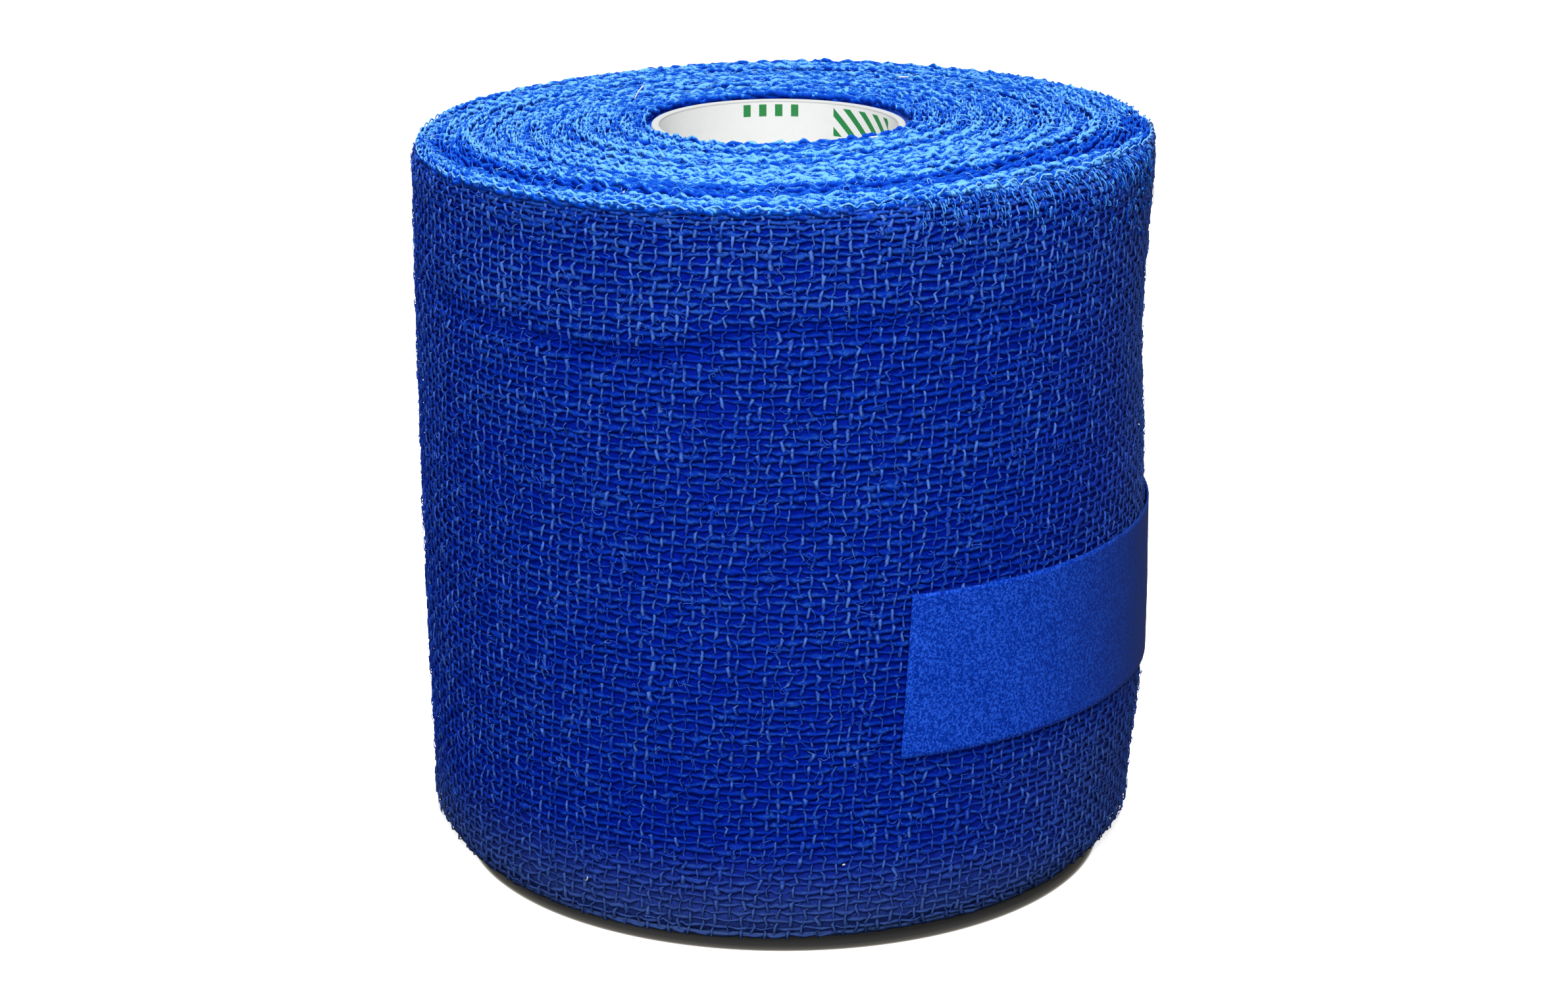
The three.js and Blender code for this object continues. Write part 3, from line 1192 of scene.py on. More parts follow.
@dataclass
class OuterWeave:
    """The plain weave of the outer turn: warps that run round the roll and upright wefts."""

    form: WoundForm = FORM
    wefts: int = 193
    rows: int = 95
    crowded_rows: int = 8
    crowding: float = 0.55
    lowest_row: float = 0.32
    highest_row: float = 79.25
    lowest_crossing: float = 0.25
    lean: float = 0.08
    lean_fade: float = 30.0
    sunk: float = 0.30
    warp: YarnKind = YarnKind(
        over=0.11, under=-0.12, flat_over=0.34, flat_under=0.22,
        half_width=0.265, half_height=0.06, under_width=0.92,
        slow_width=0.22, width_knots=96, quick_width=0.26, painted_top_light=0.3,
    )
    weft: YarnKind = YarnKind(
        over=0.19, under=-0.02, flat_over=0.5, flat_under=0.22,
        half_width=0.19, half_height=0.08, under_width=0.85,
        slow_width=0.25, width_knots=40, quick_width=0.2, painted_top_light=0.6,
    )
    rows_stray: Straying = Straying(0.07, 16, 1, 0.06, 70)
    wefts_stray: Straying = Straying(0.16, 6, 2, 0.09, 24)
    stray_limits: tuple[float, float] = (3.0, 77.0)
    stray_fade: float = 3.0
    stray_at_ends: float = 0.35
    askew_from: float = 40.0
    askew_over: float = 38.0
    bulge: float = 0.045
    bulge_knots: int = 12
    foot_fade: float = 8.0
    foot_thinning: float = 0.25
    warp_shake: float = 0.04
    warp_sway: float = 0.08
    fray: tuple[float, float] = (0.1, 1.3)
    fray_lift: tuple[float, float] = (-0.1, 0.25)
    tuck_to: float = 361.6
    tuck_under: float = 0.15
    weft_rise_shake: float = 0.04
    weft_shake: float = 0.035
    weft_sway: float = 0.1
    selvage_from: float = 77.9
    selvage_fade: float = 0.6
    selvage_sink: float = 0.25
    yarn_tone: float = 0.12
    slow_tone: float = 0.14
    slow_tone_knots: int = 20
    quick_tone: float = 0.16
    tone_shake: float = 0.25
    light: PaintedWallLight = PaintedWallLight()
    rng: np.random.Generator = field(default_factory=lambda: np.random.default_rng(SEED))

    def __post_init__(self) -> None:
        """Places every crossing of a warp and a weft."""
        self.pitch = FULL_TURN / self.wefts
        self.heights = self.usual_heights()
        self.strip_z = self.place_rows()
        self.crossing_turned = self.place_wefts()
        index = np.add.outer(np.arange(self.rows), np.arange(self.wefts))
        self.warp_is_over = index % 2 == 0
        angle = self.form.free_end - self.crossing_turned
        inward, self.crossing_z, self.tilt = self.form.wrap_rim(angle, self.strip_z)
        self.radius = self.place_radius(self.crossing_turned, self.strip_z) - inward
        # Painted light and shade of the outer turn at each crossing.
        self.lightness = self.light.at(angle, self.strip_z)

    def usual_heights(self) -> Array:
        """Returns the usual height of each row, the topmost ones crowded into a selvage."""
        row = np.arange(self.rows)
        crowded = smooth((row - self.rows + self.crowded_rows) / self.crowded_rows)
        pitch = 1.0 - self.crowding * crowded
        place = (np.cumsum(pitch) - pitch[0]) / (np.sum(pitch) - pitch[0])
        return self.lowest_row + (self.highest_row - self.lowest_row) * place

    def place_rows(self) -> Array:
        """Returns the height of each row at each weft, as rows by wefts."""
        height = self.heights[:, None]
        stray = self.rows_stray.draw(self.rng, self.rows, self.wefts)
        within = plateau(height, *self.stray_limits, self.stray_fade)
        stray = stray * (self.stray_at_ends + (1.0 - self.stray_at_ends) * within)
        angle = self.form.free_end - (np.arange(self.wefts) + 0.5) * self.pitch
        askew = self.form.lift(angle, self.form.radius)[None, :]
        askew = askew * smooth((height - self.askew_from) / self.askew_over)
        return np.maximum(height + stray + askew, self.lowest_crossing)

    def place_wefts(self) -> Array:
        """Returns how far back from the cut end each weft crosses each row."""
        turned = (np.arange(self.wefts) + 0.5) * self.pitch
        fade = plateau(turned, self.lean_fade, FULL_TURN - self.lean_fade, self.lean_fade)
        rise = self.strip_z - self.form.rim_top / 2.0
        leaning = np.degrees(self.lean * rise / self.form.radius) * fade[None, :]
        stray = self.wefts_stray.draw(self.rng, self.wefts, self.rows).T
        return turned[None, :] - leaning + self.pitch * stray

    def place_radius(self, turned: Array, z: Array) -> Array:
        """Places the middle of the cloth.

        Args:
            turned: Degrees back along the strip from its cut end.
            z: Heights along the strip's width.

        Returns:
            Its radius at each crossing.
        """
        drop = self.form.foot_corner.drop(self.form.free_end - turned, -z)
        slow = beside(wander(self.rng, self.rows, self.wefts, self.bulge_knots), 1)
        return self.form.wall_radius(turned, z) - self.sunk - drop + self.bulge * slow

    def warp_paths(self, first: int, last: int) -> YarnPaths:
        """Returns the warps of a band of rows.

        Args:
            first: The lowest row.
            last: The row after the highest.

        Returns:
            The rows as open yarns that start at the cut end and end tucked beneath it.
        """
        rows = slice(first, last)
        count = last - first
        over = self.warp_is_over[rows]
        flat = np.where(over, self.warp.flat_over, self.warp.flat_under)
        turned = doubled(self.crossing_turned[rows], flat * self.pitch)
        tilt = doubled(self.tilt[rows], 0.0)
        rise = doubled(np.where(over, self.warp.over, self.warp.under), 0.0)
        z = doubled(self.crossing_z[rows], 0.0) + rise * np.sin(tilt)
        radius = doubled(self.radius[rows], 0.0) + rise * np.cos(tilt)
        thinned = 1.0 - self.foot_thinning * bell(self.strip_z[rows] / self.foot_fade)
        width = self.widths(self.warp, over, thinned)
        tone = self.tones(self.warp, self.lightness[rows], tilt)
        radius = radius + self.warp_shake * self.rng.normal(size=radius.shape)
        z = z + self.warp_sway * self.rng.normal(size=z.shape)
        fray = -self.rng.uniform(*self.fray, size=(count, 1))
        lift = self.rng.uniform(*self.fray_lift, size=(count, 1))
        turned = np.hstack([fray, turned, np.full((count, 1), self.tuck_to)])
        radius = np.hstack([radius[:, :1] + lift, radius, radius[:, -1:] - self.tuck_under])
        ends = (np.hstack([a[:, :1], a, a[:, -1:]]) for a in (z, width, tone, tilt))
        z, width, tone, tilt = ends
        angle = self.form.free_end - turned
        height = np.full_like(width, self.warp.half_height)
        outward = on_turn(angle, np.cos(tilt), np.sin(tilt))
        upward = on_turn(angle, -np.sin(tilt), np.cos(tilt))
        return YarnPaths(on_turn(angle, radius, z), outward, upward, height, width, tone)

    def weft_paths(self, first: int, last: int) -> YarnPaths:
        """Returns the wefts of a band of columns.

        Args:
            first: The first column.
            last: The column after the last.

        Returns:
            The wefts as open yarns, each from foot to rim.
        """
        columns = slice(first, last)
        over = ~self.warp_is_over[:, columns].T
        turned = doubled(self.crossing_turned[:, columns].T, 0.0)
        tilt = doubled(self.tilt[:, columns].T, 0.0)
        rise = np.where(over, self.weft.over, self.weft.under)
        rise = rise + self.weft_rise_shake * self.rng.normal(size=rise.shape)
        in_selvage = smooth((self.strip_z - self.selvage_from) / self.selvage_fade)
        sunk = self.selvage_sink * in_selvage * np.cos(self.tilt)
        rise = doubled(rise - sunk[:, columns].T, 0.0)
        flat = np.where(over, self.weft.flat_over, self.weft.flat_under)
        along = doubled(np.zeros_like(flat), flat * np.gradient(self.heights))
        z = doubled(self.crossing_z[:, columns].T, 0.0)
        z = z + along * np.cos(tilt) + rise * np.sin(tilt)
        radius = doubled(self.radius[:, columns].T, 0.0)
        radius = radius - along * np.sin(tilt) + rise * np.cos(tilt)
        radius = radius + self.weft_shake * self.rng.normal(size=radius.shape)
        width = self.widths(self.weft, over, 1.0)
        tone = self.tones(self.weft, self.lightness[:, columns].T, tilt)
        sway = self.weft_sway * self.pitch * self.rng.normal(size=turned.shape)
        angle = self.form.free_end - (turned + sway)
        outward = on_turn(angle, np.cos(tilt), np.sin(tilt))
        height = np.full_like(width, self.weft.half_height)
        middle = on_turn(angle, radius, z)
        return YarnPaths(middle, outward, sideways_at(angle), height, width, tone)

    def widths(self, kind: YarnKind, over: Array, thinned: Array | float) -> Array:
        """Draws the half widths of yarns of one kind.

        Args:
            kind: The warps or the wefts.
            over: Whether each yarn passes over, as yarns by crossings.
            thinned: The share of their width that is left.

        Returns:
            The half widths, with two steps at each crossing.
        """
        fat = 1.0 + kind.slow_width * wander(self.rng, *over.shape, kind.width_knots)
        fat = np.where(over, 1.0, kind.under_width) * (fat * thinned)
        width = doubled(fat * kind.half_width, 0.0)
        return width * (1.0 + kind.quick_width * self.rng.normal(size=width.shape))

    def tones(self, kind: YarnKind, light: Array, tilt: Array) -> Array:
        """Makes yarns of one kind unevenly light around the tone of their place.

        Args:
            kind: The warps or the wefts.
            light: The tone of each place, as yarns by crossings.
            tilt: How far each step is turned over the rim.

        Returns:
            The tones, with two steps at each crossing.
        """
        yarns, crossings = light.shape
        yarn = self.yarn_tone * self.rng.normal(size=(yarns, 1))
        slow = self.slow_tone * wander(self.rng, yarns, crossings, self.slow_tone_knots)
        quick = self.quick_tone * self.rng.normal(size=(yarns, crossings))
        # Painted top light where the yarn turns up over the rim.
        tone = doubled(light + yarn + slow + quick, 0.0) + kind.painted_top_light * tilt
        return tone + self.tone_shake * self.rng.normal(size=tone.shape)

    def build(self) -> list[Piece]:
        """Makes, dresses and rides the yarns as four pieces."""
        warp = WARP_FINISH.make()
        weft = WEFT_FINISH.make()
        middle_row = self.rows // 2
        middle_weft = self.wefts // 2
        pieces = [
            self.warp_paths(0, middle_row).make("lower_warps"),
            self.warp_paths(middle_row, self.rows).make("upper_warps"),
            self.weft_paths(0, middle_weft).make("right_wefts"),
            self.weft_paths(middle_weft, self.wefts).make("left_wefts"),
        ]
        for piece, finish in zip(pieces, (warp, warp, weft, weft)):
            settle(piece, finish)
        return pieces


def doubled(values: Array, half: Array) -> Array:
    """Puts two steps at each crossing, half before and half after it."""
    pair = np.stack([values - half, values + half], axis=-1)
    return pair.reshape(values.shape[0], -1)


class RollEnd(Enum):
    """Which end of the roll an edge is on, as the way it faces."""

    TOP = 1.0
    FOOT = -1.0


@dataclass(frozen=True)
class EdgeTones:
    """How much lighter each pattern makes a selvage thread, or darker where below 0, several of
    them as painted light and shade.
    """

    chance: float = 0.24
    curls: float = 0.15
    scallop: float = 0.14
    # Painted light on raised turns and rings; painted shade on each ring's front, in the groove,
    # near the bore and at the back.
    high_turn: float = 0.6
    ring: float = 0.4
    ring_front_shade: float = -0.75
    groove: float = -1.2
    near_bore_shade: float = -0.25
    rim_band: float = -0.4
    at_back: float = -0.34


@dataclass
class WoundEdge:
    """One thread of the strip's selvage, wound from the cut end in to the tube."""

    name: str
    end: RollEnd
    finish: YarnFinish
    form: WoundForm = FORM
    turns: int = 51
    laid_turns: int = 51
    spacing: float = 0.38
    period: float = 2.7
    wave_up: float = 0.12
    wave_across: float = 0.14
    curl: float = 0.10
    curl_length: float = 0.6
    phase: float = 0.0
    below_crest: float = 0.0
    outward_by: float = 0.0
    half_height: float = 0.36
    half_width: float = 0.15
    tone: float = 0.5
    curl_drift: float = 0.8
    second_wave: float = 0.4
    second_drift: float = 1.3
    width_chance: float = 0.25
    width_limits: tuple[float, float] = (0.6, 1.6)
    outer_inset: float = 0.28
    inner_inset: float = 0.2
    rim_pressed: float = 0.75
    foot_pressed: float = 0.45
    ring_pitch: float = 2.5
    ring_width: float = 0.15
    ring_height: float = 0.42
    ring_drift: float = 0.16
    ring_wave: float = 0.25
    broad_ring_pitch: float = 4.3
    broad_ring_height: float = 0.15
    broad_ring_drift: float = 0.9
    turn_height: float = 0.09
    drift_height: float = 0.12
    knot_spacing: float = 30.0
    shaded_by: float = 0.27
    bore_shade: float = 3.0
    rim_fold: float = 0.12
    quiet_within: float = 0.3
    quiet_fade: float = 1.2
    quiet_waves: float = 0.5
    back_from: float = 85.0
    back_over: float = 60.0
    back_calm: float = 0.6
    band_turns: tuple[float, float] = (0.7, 1.6)
    band_fade: float = 0.5
    above_floor: float = 0.02
    turn_samples: int = 20000
    tones: EdgeTones = EdgeTones()
    seed: int = SEED

    def strip_turns(self) -> Array:
        """Returns the degrees from the cut end at even steps along the strip."""
        fine = np.linspace(0.0, self.laid_turns * FULL_TURN, self.turn_samples)
        length = np.cumsum(self.radius_at(fine) * np.radians(np.gradient(fine)))
        steps = int(length[-1] / self.spacing)
        return np.interp(np.linspace(0.0, length[-1], steps), length, fine)

    def radius_at(self, turned: Array) -> Array:
        """Winds the selvage in.

        Args:
            turned: Degrees back along the strip from its cut end.

        Returns:
            The radius of the selvage there.
        """
        angle = self.form.free_end - turned
        if self.end is RollEnd.TOP:
            swell = self.form.swell_at(angle, RIM_LEVEL)
            pressed = self.rim_pressed * self.blunt_at(angle)
        else:
            swell = self.form.swell_at(angle, FOOT_LEVEL)
            pressed = self.foot_pressed * self.form.foot_corner.radius_at(angle)
        outer = self.form.radius - self.outer_inset + swell - pressed
        share = turned / (self.turns * FULL_TURN)
        return outer + (self.form.bore_radius + self.inner_inset - outer) * share

    def blunt_at(self, angle: Array) -> Array:
        """Returns how much blunter the rim is than usual at each angle."""
        return self.form.rim_corner.radius_at(angle) - self.form.rim_corner.usual

    def drift_at(self, turned: Array) -> Array:
        """Returns how the rings drift in and out twice round the roll, from -1 to 1."""
        return np.sin(np.radians(self.form.free_end - turned) * 2.0)

    def uneven_height(self, turned: Array, radius: Array) -> Array:
        """Winds each turn a little high or low.

        Args:
            turned: Degrees back along the strip from its cut end.
            radius: The radius of the selvage there.

        Returns:
            How far each place stands above or below its neighbours.
        """
        rng = np.random.default_rng(self.seed)
        each_turn = rng.normal(size=self.turns + 2) * self.turn_height
        knots_per_turn = int(FULL_TURN / self.knot_spacing)
        knots = rng.normal(size=self.turns * knots_per_turn + 2) * self.drift_height
        by_turn = np.interp(turned / FULL_TURN, np.arange(self.turns + 2), each_turn)
        by_knot = np.interp(turned / self.knot_spacing, np.arange(len(knots)), knots)
        wave = math.tau * radius / self.broad_ring_pitch
        wave = wave - self.broad_ring_drift * self.drift_at(turned)
        return by_turn + by_knot + self.broad_ring_height * np.sin(wave)

    def ring_at(self, turned: Array, radius: Array) -> Array:
        """Finds the thin raised rings, where the strip was wound a little high.

        Args:
            turned: Degrees back along the strip from its cut end.
            radius: The radius of the selvage there.

        Returns:
            1 on a ring, fading to 0 beside it.
        """
        place = radius / self.ring_pitch + self.ring_drift * self.drift_at(turned)
        return bell((place - np.round(place)) / self.ring_width)

    def paths(self) -> YarnPaths:
        """Returns the thread as one long yarn."""
        turned = self.strip_turns()
        steps = len(turned)
        angle = self.form.free_end - turned
        radius = self.radius_at(turned)
        rng = np.random.default_rng(self.seed + 100 + int(self.phase * 10))
        slow = wander(rng, 1, steps, steps // 40)[0]
        curls = wander(rng, 3, steps, int(steps * self.spacing / self.curl_length))
        wave = math.tau * np.arange(steps) * self.spacing / self.period
        wave = wave + self.phase + self.curl_drift * slow
        quiet = smooth((self.form.radius - radius - self.quiet_within) / self.quiet_fade)
        uneven = self.uneven_height(turned, radius) * quiet
        waving = 1.0 - self.ring_wave + self.ring_wave * np.sin(wave)
        ring = self.ring_at(turned, radius) * quiet * waving
        shaded = self.ring_at(turned, radius - self.shaded_by * self.ring_pitch) * quiet
        second = self.second_wave * np.sin(2.0 * wave + self.second_drift * slow)
        scallop = np.sin(wave) + second
        past_side = np.abs(turn_between(0.0, angle)) - self.back_from
        at_back = smooth(past_side / self.back_over)
        calm = 1.0 - self.quiet_waves + self.quiet_waves * quiet
        calm = calm * (1.0 - self.back_calm * at_back)
        waved = self.wave_up * scallop * calm + self.ring_height * ring
        fold = self.rim_fold * self.blunt_at(angle) * (1.0 - quiet)
        up = uneven + waved - self.below_crest + self.curl * curls[0] - fold
        across = self.outward_by + self.wave_across * np.cos(wave) + self.curl * curls[1]
        facing = self.end.value
        if self.end is RollEnd.TOP:
            crest = self.form.top_height(angle, radius) + up
        else:
            crest = np.maximum(self.form.foot_height(radius) - up, self.above_floor)
        z = crest - facing * self.half_height
        middle = self.form.shift(on_turn(angle, radius + across, z), radius)
        # Tones include painted light on raised turns and rings, and painted shade beside rings, in
        # the groove, near the bore and at the back.
        patterns = (
            (self.tones.chance, rng.normal(size=steps)),
            (self.tones.curls, curls[2]),
            (self.tones.scallop, scallop),
            (self.tones.high_turn, uneven),
            (self.tones.ring, ring),
            (self.tones.ring_front_shade, shaded),
            (self.tones.groove, self.form.groove_at(angle, radius)),
            (self.tones.near_bore_shade, bell((radius - self.form.bore_radius) / self.bore_shade)),
            (self.tones.rim_band, plateau(turned / FULL_TURN, *self.band_turns, self.band_fade)),
            (self.tones.at_back, at_back),
        )
        tone = np.full(steps, self.tone)
        for weight, pattern in patterns:
            tone = tone + weight * pattern
        upright = np.zeros_like(middle)
        upright[:, 2] = facing
        outward = outward_at(angle)
        uneven_width = 1.0 + self.width_chance * rng.normal(size=steps)
        width = self.half_width * np.clip(uneven_width, *self.width_limits)
        return YarnPaths(
            middle[None],
            upright[None],
            outward[None],
            np.full((1, steps), self.half_height),
            width[None],
            np.clip(tone, 0.0, 1.0)[None],
        )

    def build(self) -> Piece:
        """Makes, dresses and rides the thread."""
        piece = self.paths().make(self.name)
        settle(piece, self.finish.make())
        return piece


def laid_across(middle: Array, upward: Array) -> Array:
    """Returns the unit vectors square to both the run of each line and the way it faces."""
    across = np.cross(upward, np.gradient(middle, axis=1))
    return across / np.linalg.norm(across, axis=-1, keepdims=True)


@dataclass(frozen=True)
class Lint:
    """A white speck or strand caught on the cloth: on the wall at a height, or on the top."""

    angle: float
    place: float
    on_top: bool
    length: float
    heading: float
    stands_up: float = 0.0


LINT = (
    Lint(-128.0, 20.5, True, 1.6, 180.0, 1.3),
    Lint(38.0, 16.7, True, 0.9, 10.0),
    Lint(-25.0, 38.3, True, 0.5, 80.0),
    Lint(150.0, 29.0, True, 1.2, 140.0),
    Lint(-31.0, 4.6, False, 0.5, 70.0),
    Lint(9.0, 8.6, False, 0.3, 20.0),
    Lint(-158.0, 52.0, False, 1.6, 35.0),
    Lint(140.0, 31.0, False, 0.7, 120.0),
)


@dataclass
class LooseFibres:
    """Short curled fibres that stand off the yarns of the wall and of the upper end."""

    form: WoundForm = FORM
    on_wall: int = 2300
    on_top: int = 1200
    on_shoulder: int = 460
    wall_limits: tuple[float, float] = (1.0, 78.5)
    wall_reach: tuple[float, float] = (0.3, 79.3)
    rim_inset: float = 0.8
    bore_inset: float = 1.0
    bore_reach: float = 0.3
    shoulder_limits: tuple[float, float] = (20.0, 76.0)
    steps: int = 6
    lengths: tuple[float, float] = (0.7, 2.2)
    bend: float = 2.0
    kink: float = 0.3
    arch: float = 0.22
    arch_shares: tuple[float, float] = (0.2, 1.0)
    width_shares: tuple[float, float] = (0.7, 1.3)
    tones: tuple[float, float] = (0.1, 1.0)
    half_width: float = 0.04
    curl_half_width: float = 0.085
    lint_half_width: float = 0.09
    lint_bend: float = 0.12
    lint_over_top: float = 0.35
    lint_over_wall: float = 0.1
    pressed_in: float = 0.04
    curls_below_rim: float = 1.9
    curls_along: float = 0.3
    curls_up: float = 0.8
    curls_pressed_in: float = 0.05
    rng: np.random.Generator = field(default_factory=lambda: np.random.default_rng(SEED + 1))

    def curls(self, count: int) -> tuple[Array, Array, Array]:
        """Draws curled fibres lying on a plane.

        Args:
            count: How many.

        Returns:
            Their two places on the plane and their rise above it, as fibres by steps.
        """
        length = self.rng.uniform(*self.lengths, size=(count, 1))
        share = np.linspace(-1.0, 1.0, self.steps)[None, :]
        heading = self.rng.uniform(0.0, math.tau, size=(count, 1))
        heading = heading + self.bend * self.rng.normal(size=(count, 1)) * share
        heading = heading + self.kink * self.rng.normal(size=(count, self.steps))
        pace = length / (self.steps - 1)
        along = np.cumsum(pace * np.cos(heading), axis=1)
        up = np.cumsum(pace * np.sin(heading), axis=1)
        arch = self.arch * self.rng.uniform(*self.arch_shares, size=(count, 1))
        rise = arch * (1.0 - share * share)
        return along, up, rise

    def paths(self, middle: Array, upward: Array, half_width: float) -> YarnPaths:
        """Makes fibres of uneven tone.

        Args:
            middle: Their middle lines.
            upward: The way that they face at each step.
            half_width: Half of their usual width.

        Returns:
            The fibres, as thin yarns.
        """
        count, steps = middle.shape[:2]
        all_along = np.ones((1, steps))
        width = half_width * self.rng.uniform(*self.width_shares, size=(count, 1)) * all_along
        tone = self.rng.uniform(*self.tones, size=(count, 1)) * all_along
        return YarnPaths(middle, upward, laid_across(middle, upward), width, width, tone)

    def wall_paths(self) -> YarnPaths:
        """Returns the fibres on the outer turn."""
        along, up, rise = self.curls(self.on_wall)
        angle = self.rng.uniform(-HALF_TURN, HALF_TURN, size=(self.on_wall, 1))
        angle = angle + np.degrees(along / self.form.radius)
        z = self.rng.uniform(*self.wall_limits, size=(self.on_wall, 1)) + up
        z = np.clip(z, *self.wall_reach)
        radius = self.form.outside_at(angle, z) - self.pressed_in + rise
        middle = on_turn(angle, radius, z)
        return self.paths(middle, outward_at(angle), self.half_width)

    def top_paths(self) -> YarnPaths:
        """Returns the fibres on the upper end."""
        along, up, rise = self.curls(self.on_top)
        inner = (self.form.bore_radius + self.bore_inset) ** 2
        outer = (self.form.radius - self.rim_inset) ** 2
        start_radius = np.sqrt(self.rng.uniform(inner, outer, size=(self.on_top, 1)))
        start_angle = self.rng.uniform(-HALF_TURN, HALF_TURN, size=(self.on_top, 1))
        place = on_turn(start_angle, start_radius, 0.0)
        place = place + np.stack([along, up, np.zeros_like(up)], axis=-1)
        angle = angle_of(place)
        nearest = self.form.bore_radius + self.bore_reach
        farthest = self.form.radius - self.form.rim_corner.radius_at(angle)
        radius = np.clip(radius_of(place), nearest, farthest)
        z = self.form.top_height(angle, radius) + rise
        middle = self.form.shift(on_turn(angle, radius, z), radius)
        upward = np.zeros_like(middle)
        upward[..., 2] = 1.0
        return self.paths(middle, upward, self.half_width)

    def shoulder_paths(self) -> YarnPaths:
        """Returns the upright curls that stand off the blunt part of the rim."""
        along, up, rise = self.curls(self.on_shoulder)
        angle = self.rng.uniform(*self.shoulder_limits, size=(self.on_shoulder, 1))
        angle = angle + np.degrees(self.curls_along * along / self.form.radius)
        below = self.rng.exponential(self.curls_below_rim, size=(self.on_shoulder, 1))
        strip_z = self.form.rim_top - below + self.curls_up * up
        strip_z = np.minimum(strip_z, self.form.rim_top)
        inward, z, tilt = self.form.wrap_rim(angle, strip_z)
        radius = self.form.wall_radius(self.form.free_end - angle, strip_z) - inward
        radius = radius + (rise - self.curls_pressed_in) * np.cos(tilt)
        middle = on_turn(angle, radius, z + rise * np.sin(tilt))
        upward = on_turn(angle, np.cos(tilt), np.sin(tilt))
        return self.paths(middle, upward, self.curl_half_width)

    def lint_line(self, speck: Lint) -> tuple[Array, Array]:
        """Lays one white strand, a little bent, on the cloth.

        Args:
            speck: The strand.

        Returns:
            Its middle line, and the way that it faces at each step.
        """
        share = np.linspace(-0.5, 0.5, self.steps)
        heading = math.radians(speck.heading)
        along = speck.length * share * math.cos(heading)
        along = along + self.lint_bend * speck.length * (1.0 - 4.0 * share * share)
        up = speck.length * share * math.sin(heading)
        if speck.on_top:
            angle = speck.angle + np.degrees(along / speck.place)
            radius = speck.place + up
            z = self.form.top_height(angle, radius) + self.lint_over_top
            z = z + speck.stands_up * (share + 0.5)
            middle = self.form.shift(on_turn(angle, radius, z), radius)
            return middle, on_turn(angle, np.zeros(self.steps), 1.0)
        angle = speck.angle + np.degrees(along / self.form.radius)
        z = speck.place + up
        radius = self.form.outside_at(angle, z) + self.lint_over_wall
        return on_turn(angle, radius, z), outward_at(angle)

    def lint_paths(self) -> YarnPaths:
        """Returns the white specks and strands."""
        middle, upward = (np.stack(part) for part in zip(*map(self.lint_line, LINT)))
        width = np.full(middle.shape[:2], self.lint_half_width)
        return YarnPaths(middle, upward, laid_across(middle, upward), width, width, width)

    def build(self) -> None:
        """Makes, dresses and rides the fibres, the curls and the lint, each as one piece."""
        kinds = (
            ("wall_fibres", self.wall_paths, WALL_FIBRE_FINISH),
            ("top_fibres", self.top_paths, TOP_FIBRE_FINISH),
            ("shoulder_curls", self.shoulder_paths, LOOP_FINISH),
            ("white_lint", self.lint_paths, LINT_FINISH),
        )
        for name, lay_out, finish in kinds:
            settle(lay_out().make(name), finish.make())


@dataclass(frozen=True)
class Dashes:
    """A group of plain printed dashes, placed in millimetres round and up the inner wall."""

    pitch: float
    width: float
    slant: float
    round_limits: tuple[float, float]
    height_limits: tuple[float, float]

    def mask(self, shade: Shade, around: Socket, height: Socket) -> Socket:
        """Draws the group.

        Args:
            shade: Adds the nodes.
            around: The way round the tube.
            height: The height.

        Returns:
            A mask, 1 on the dashes.
        """
        leaning = shade.math("MULTIPLY", height, self.slant)
        run = shade.math("ADD", around, leaning)
        dashes = shade.math("LESS_THAN", shade.math("PINGPONG", run, self.pitch), self.width)
        for place, limits in ((around, self.round_limits), (height, self.height_limits)):
            dashes = shade.math("MULTIPLY", dashes, shade.between(place, *limits))
        return dashes


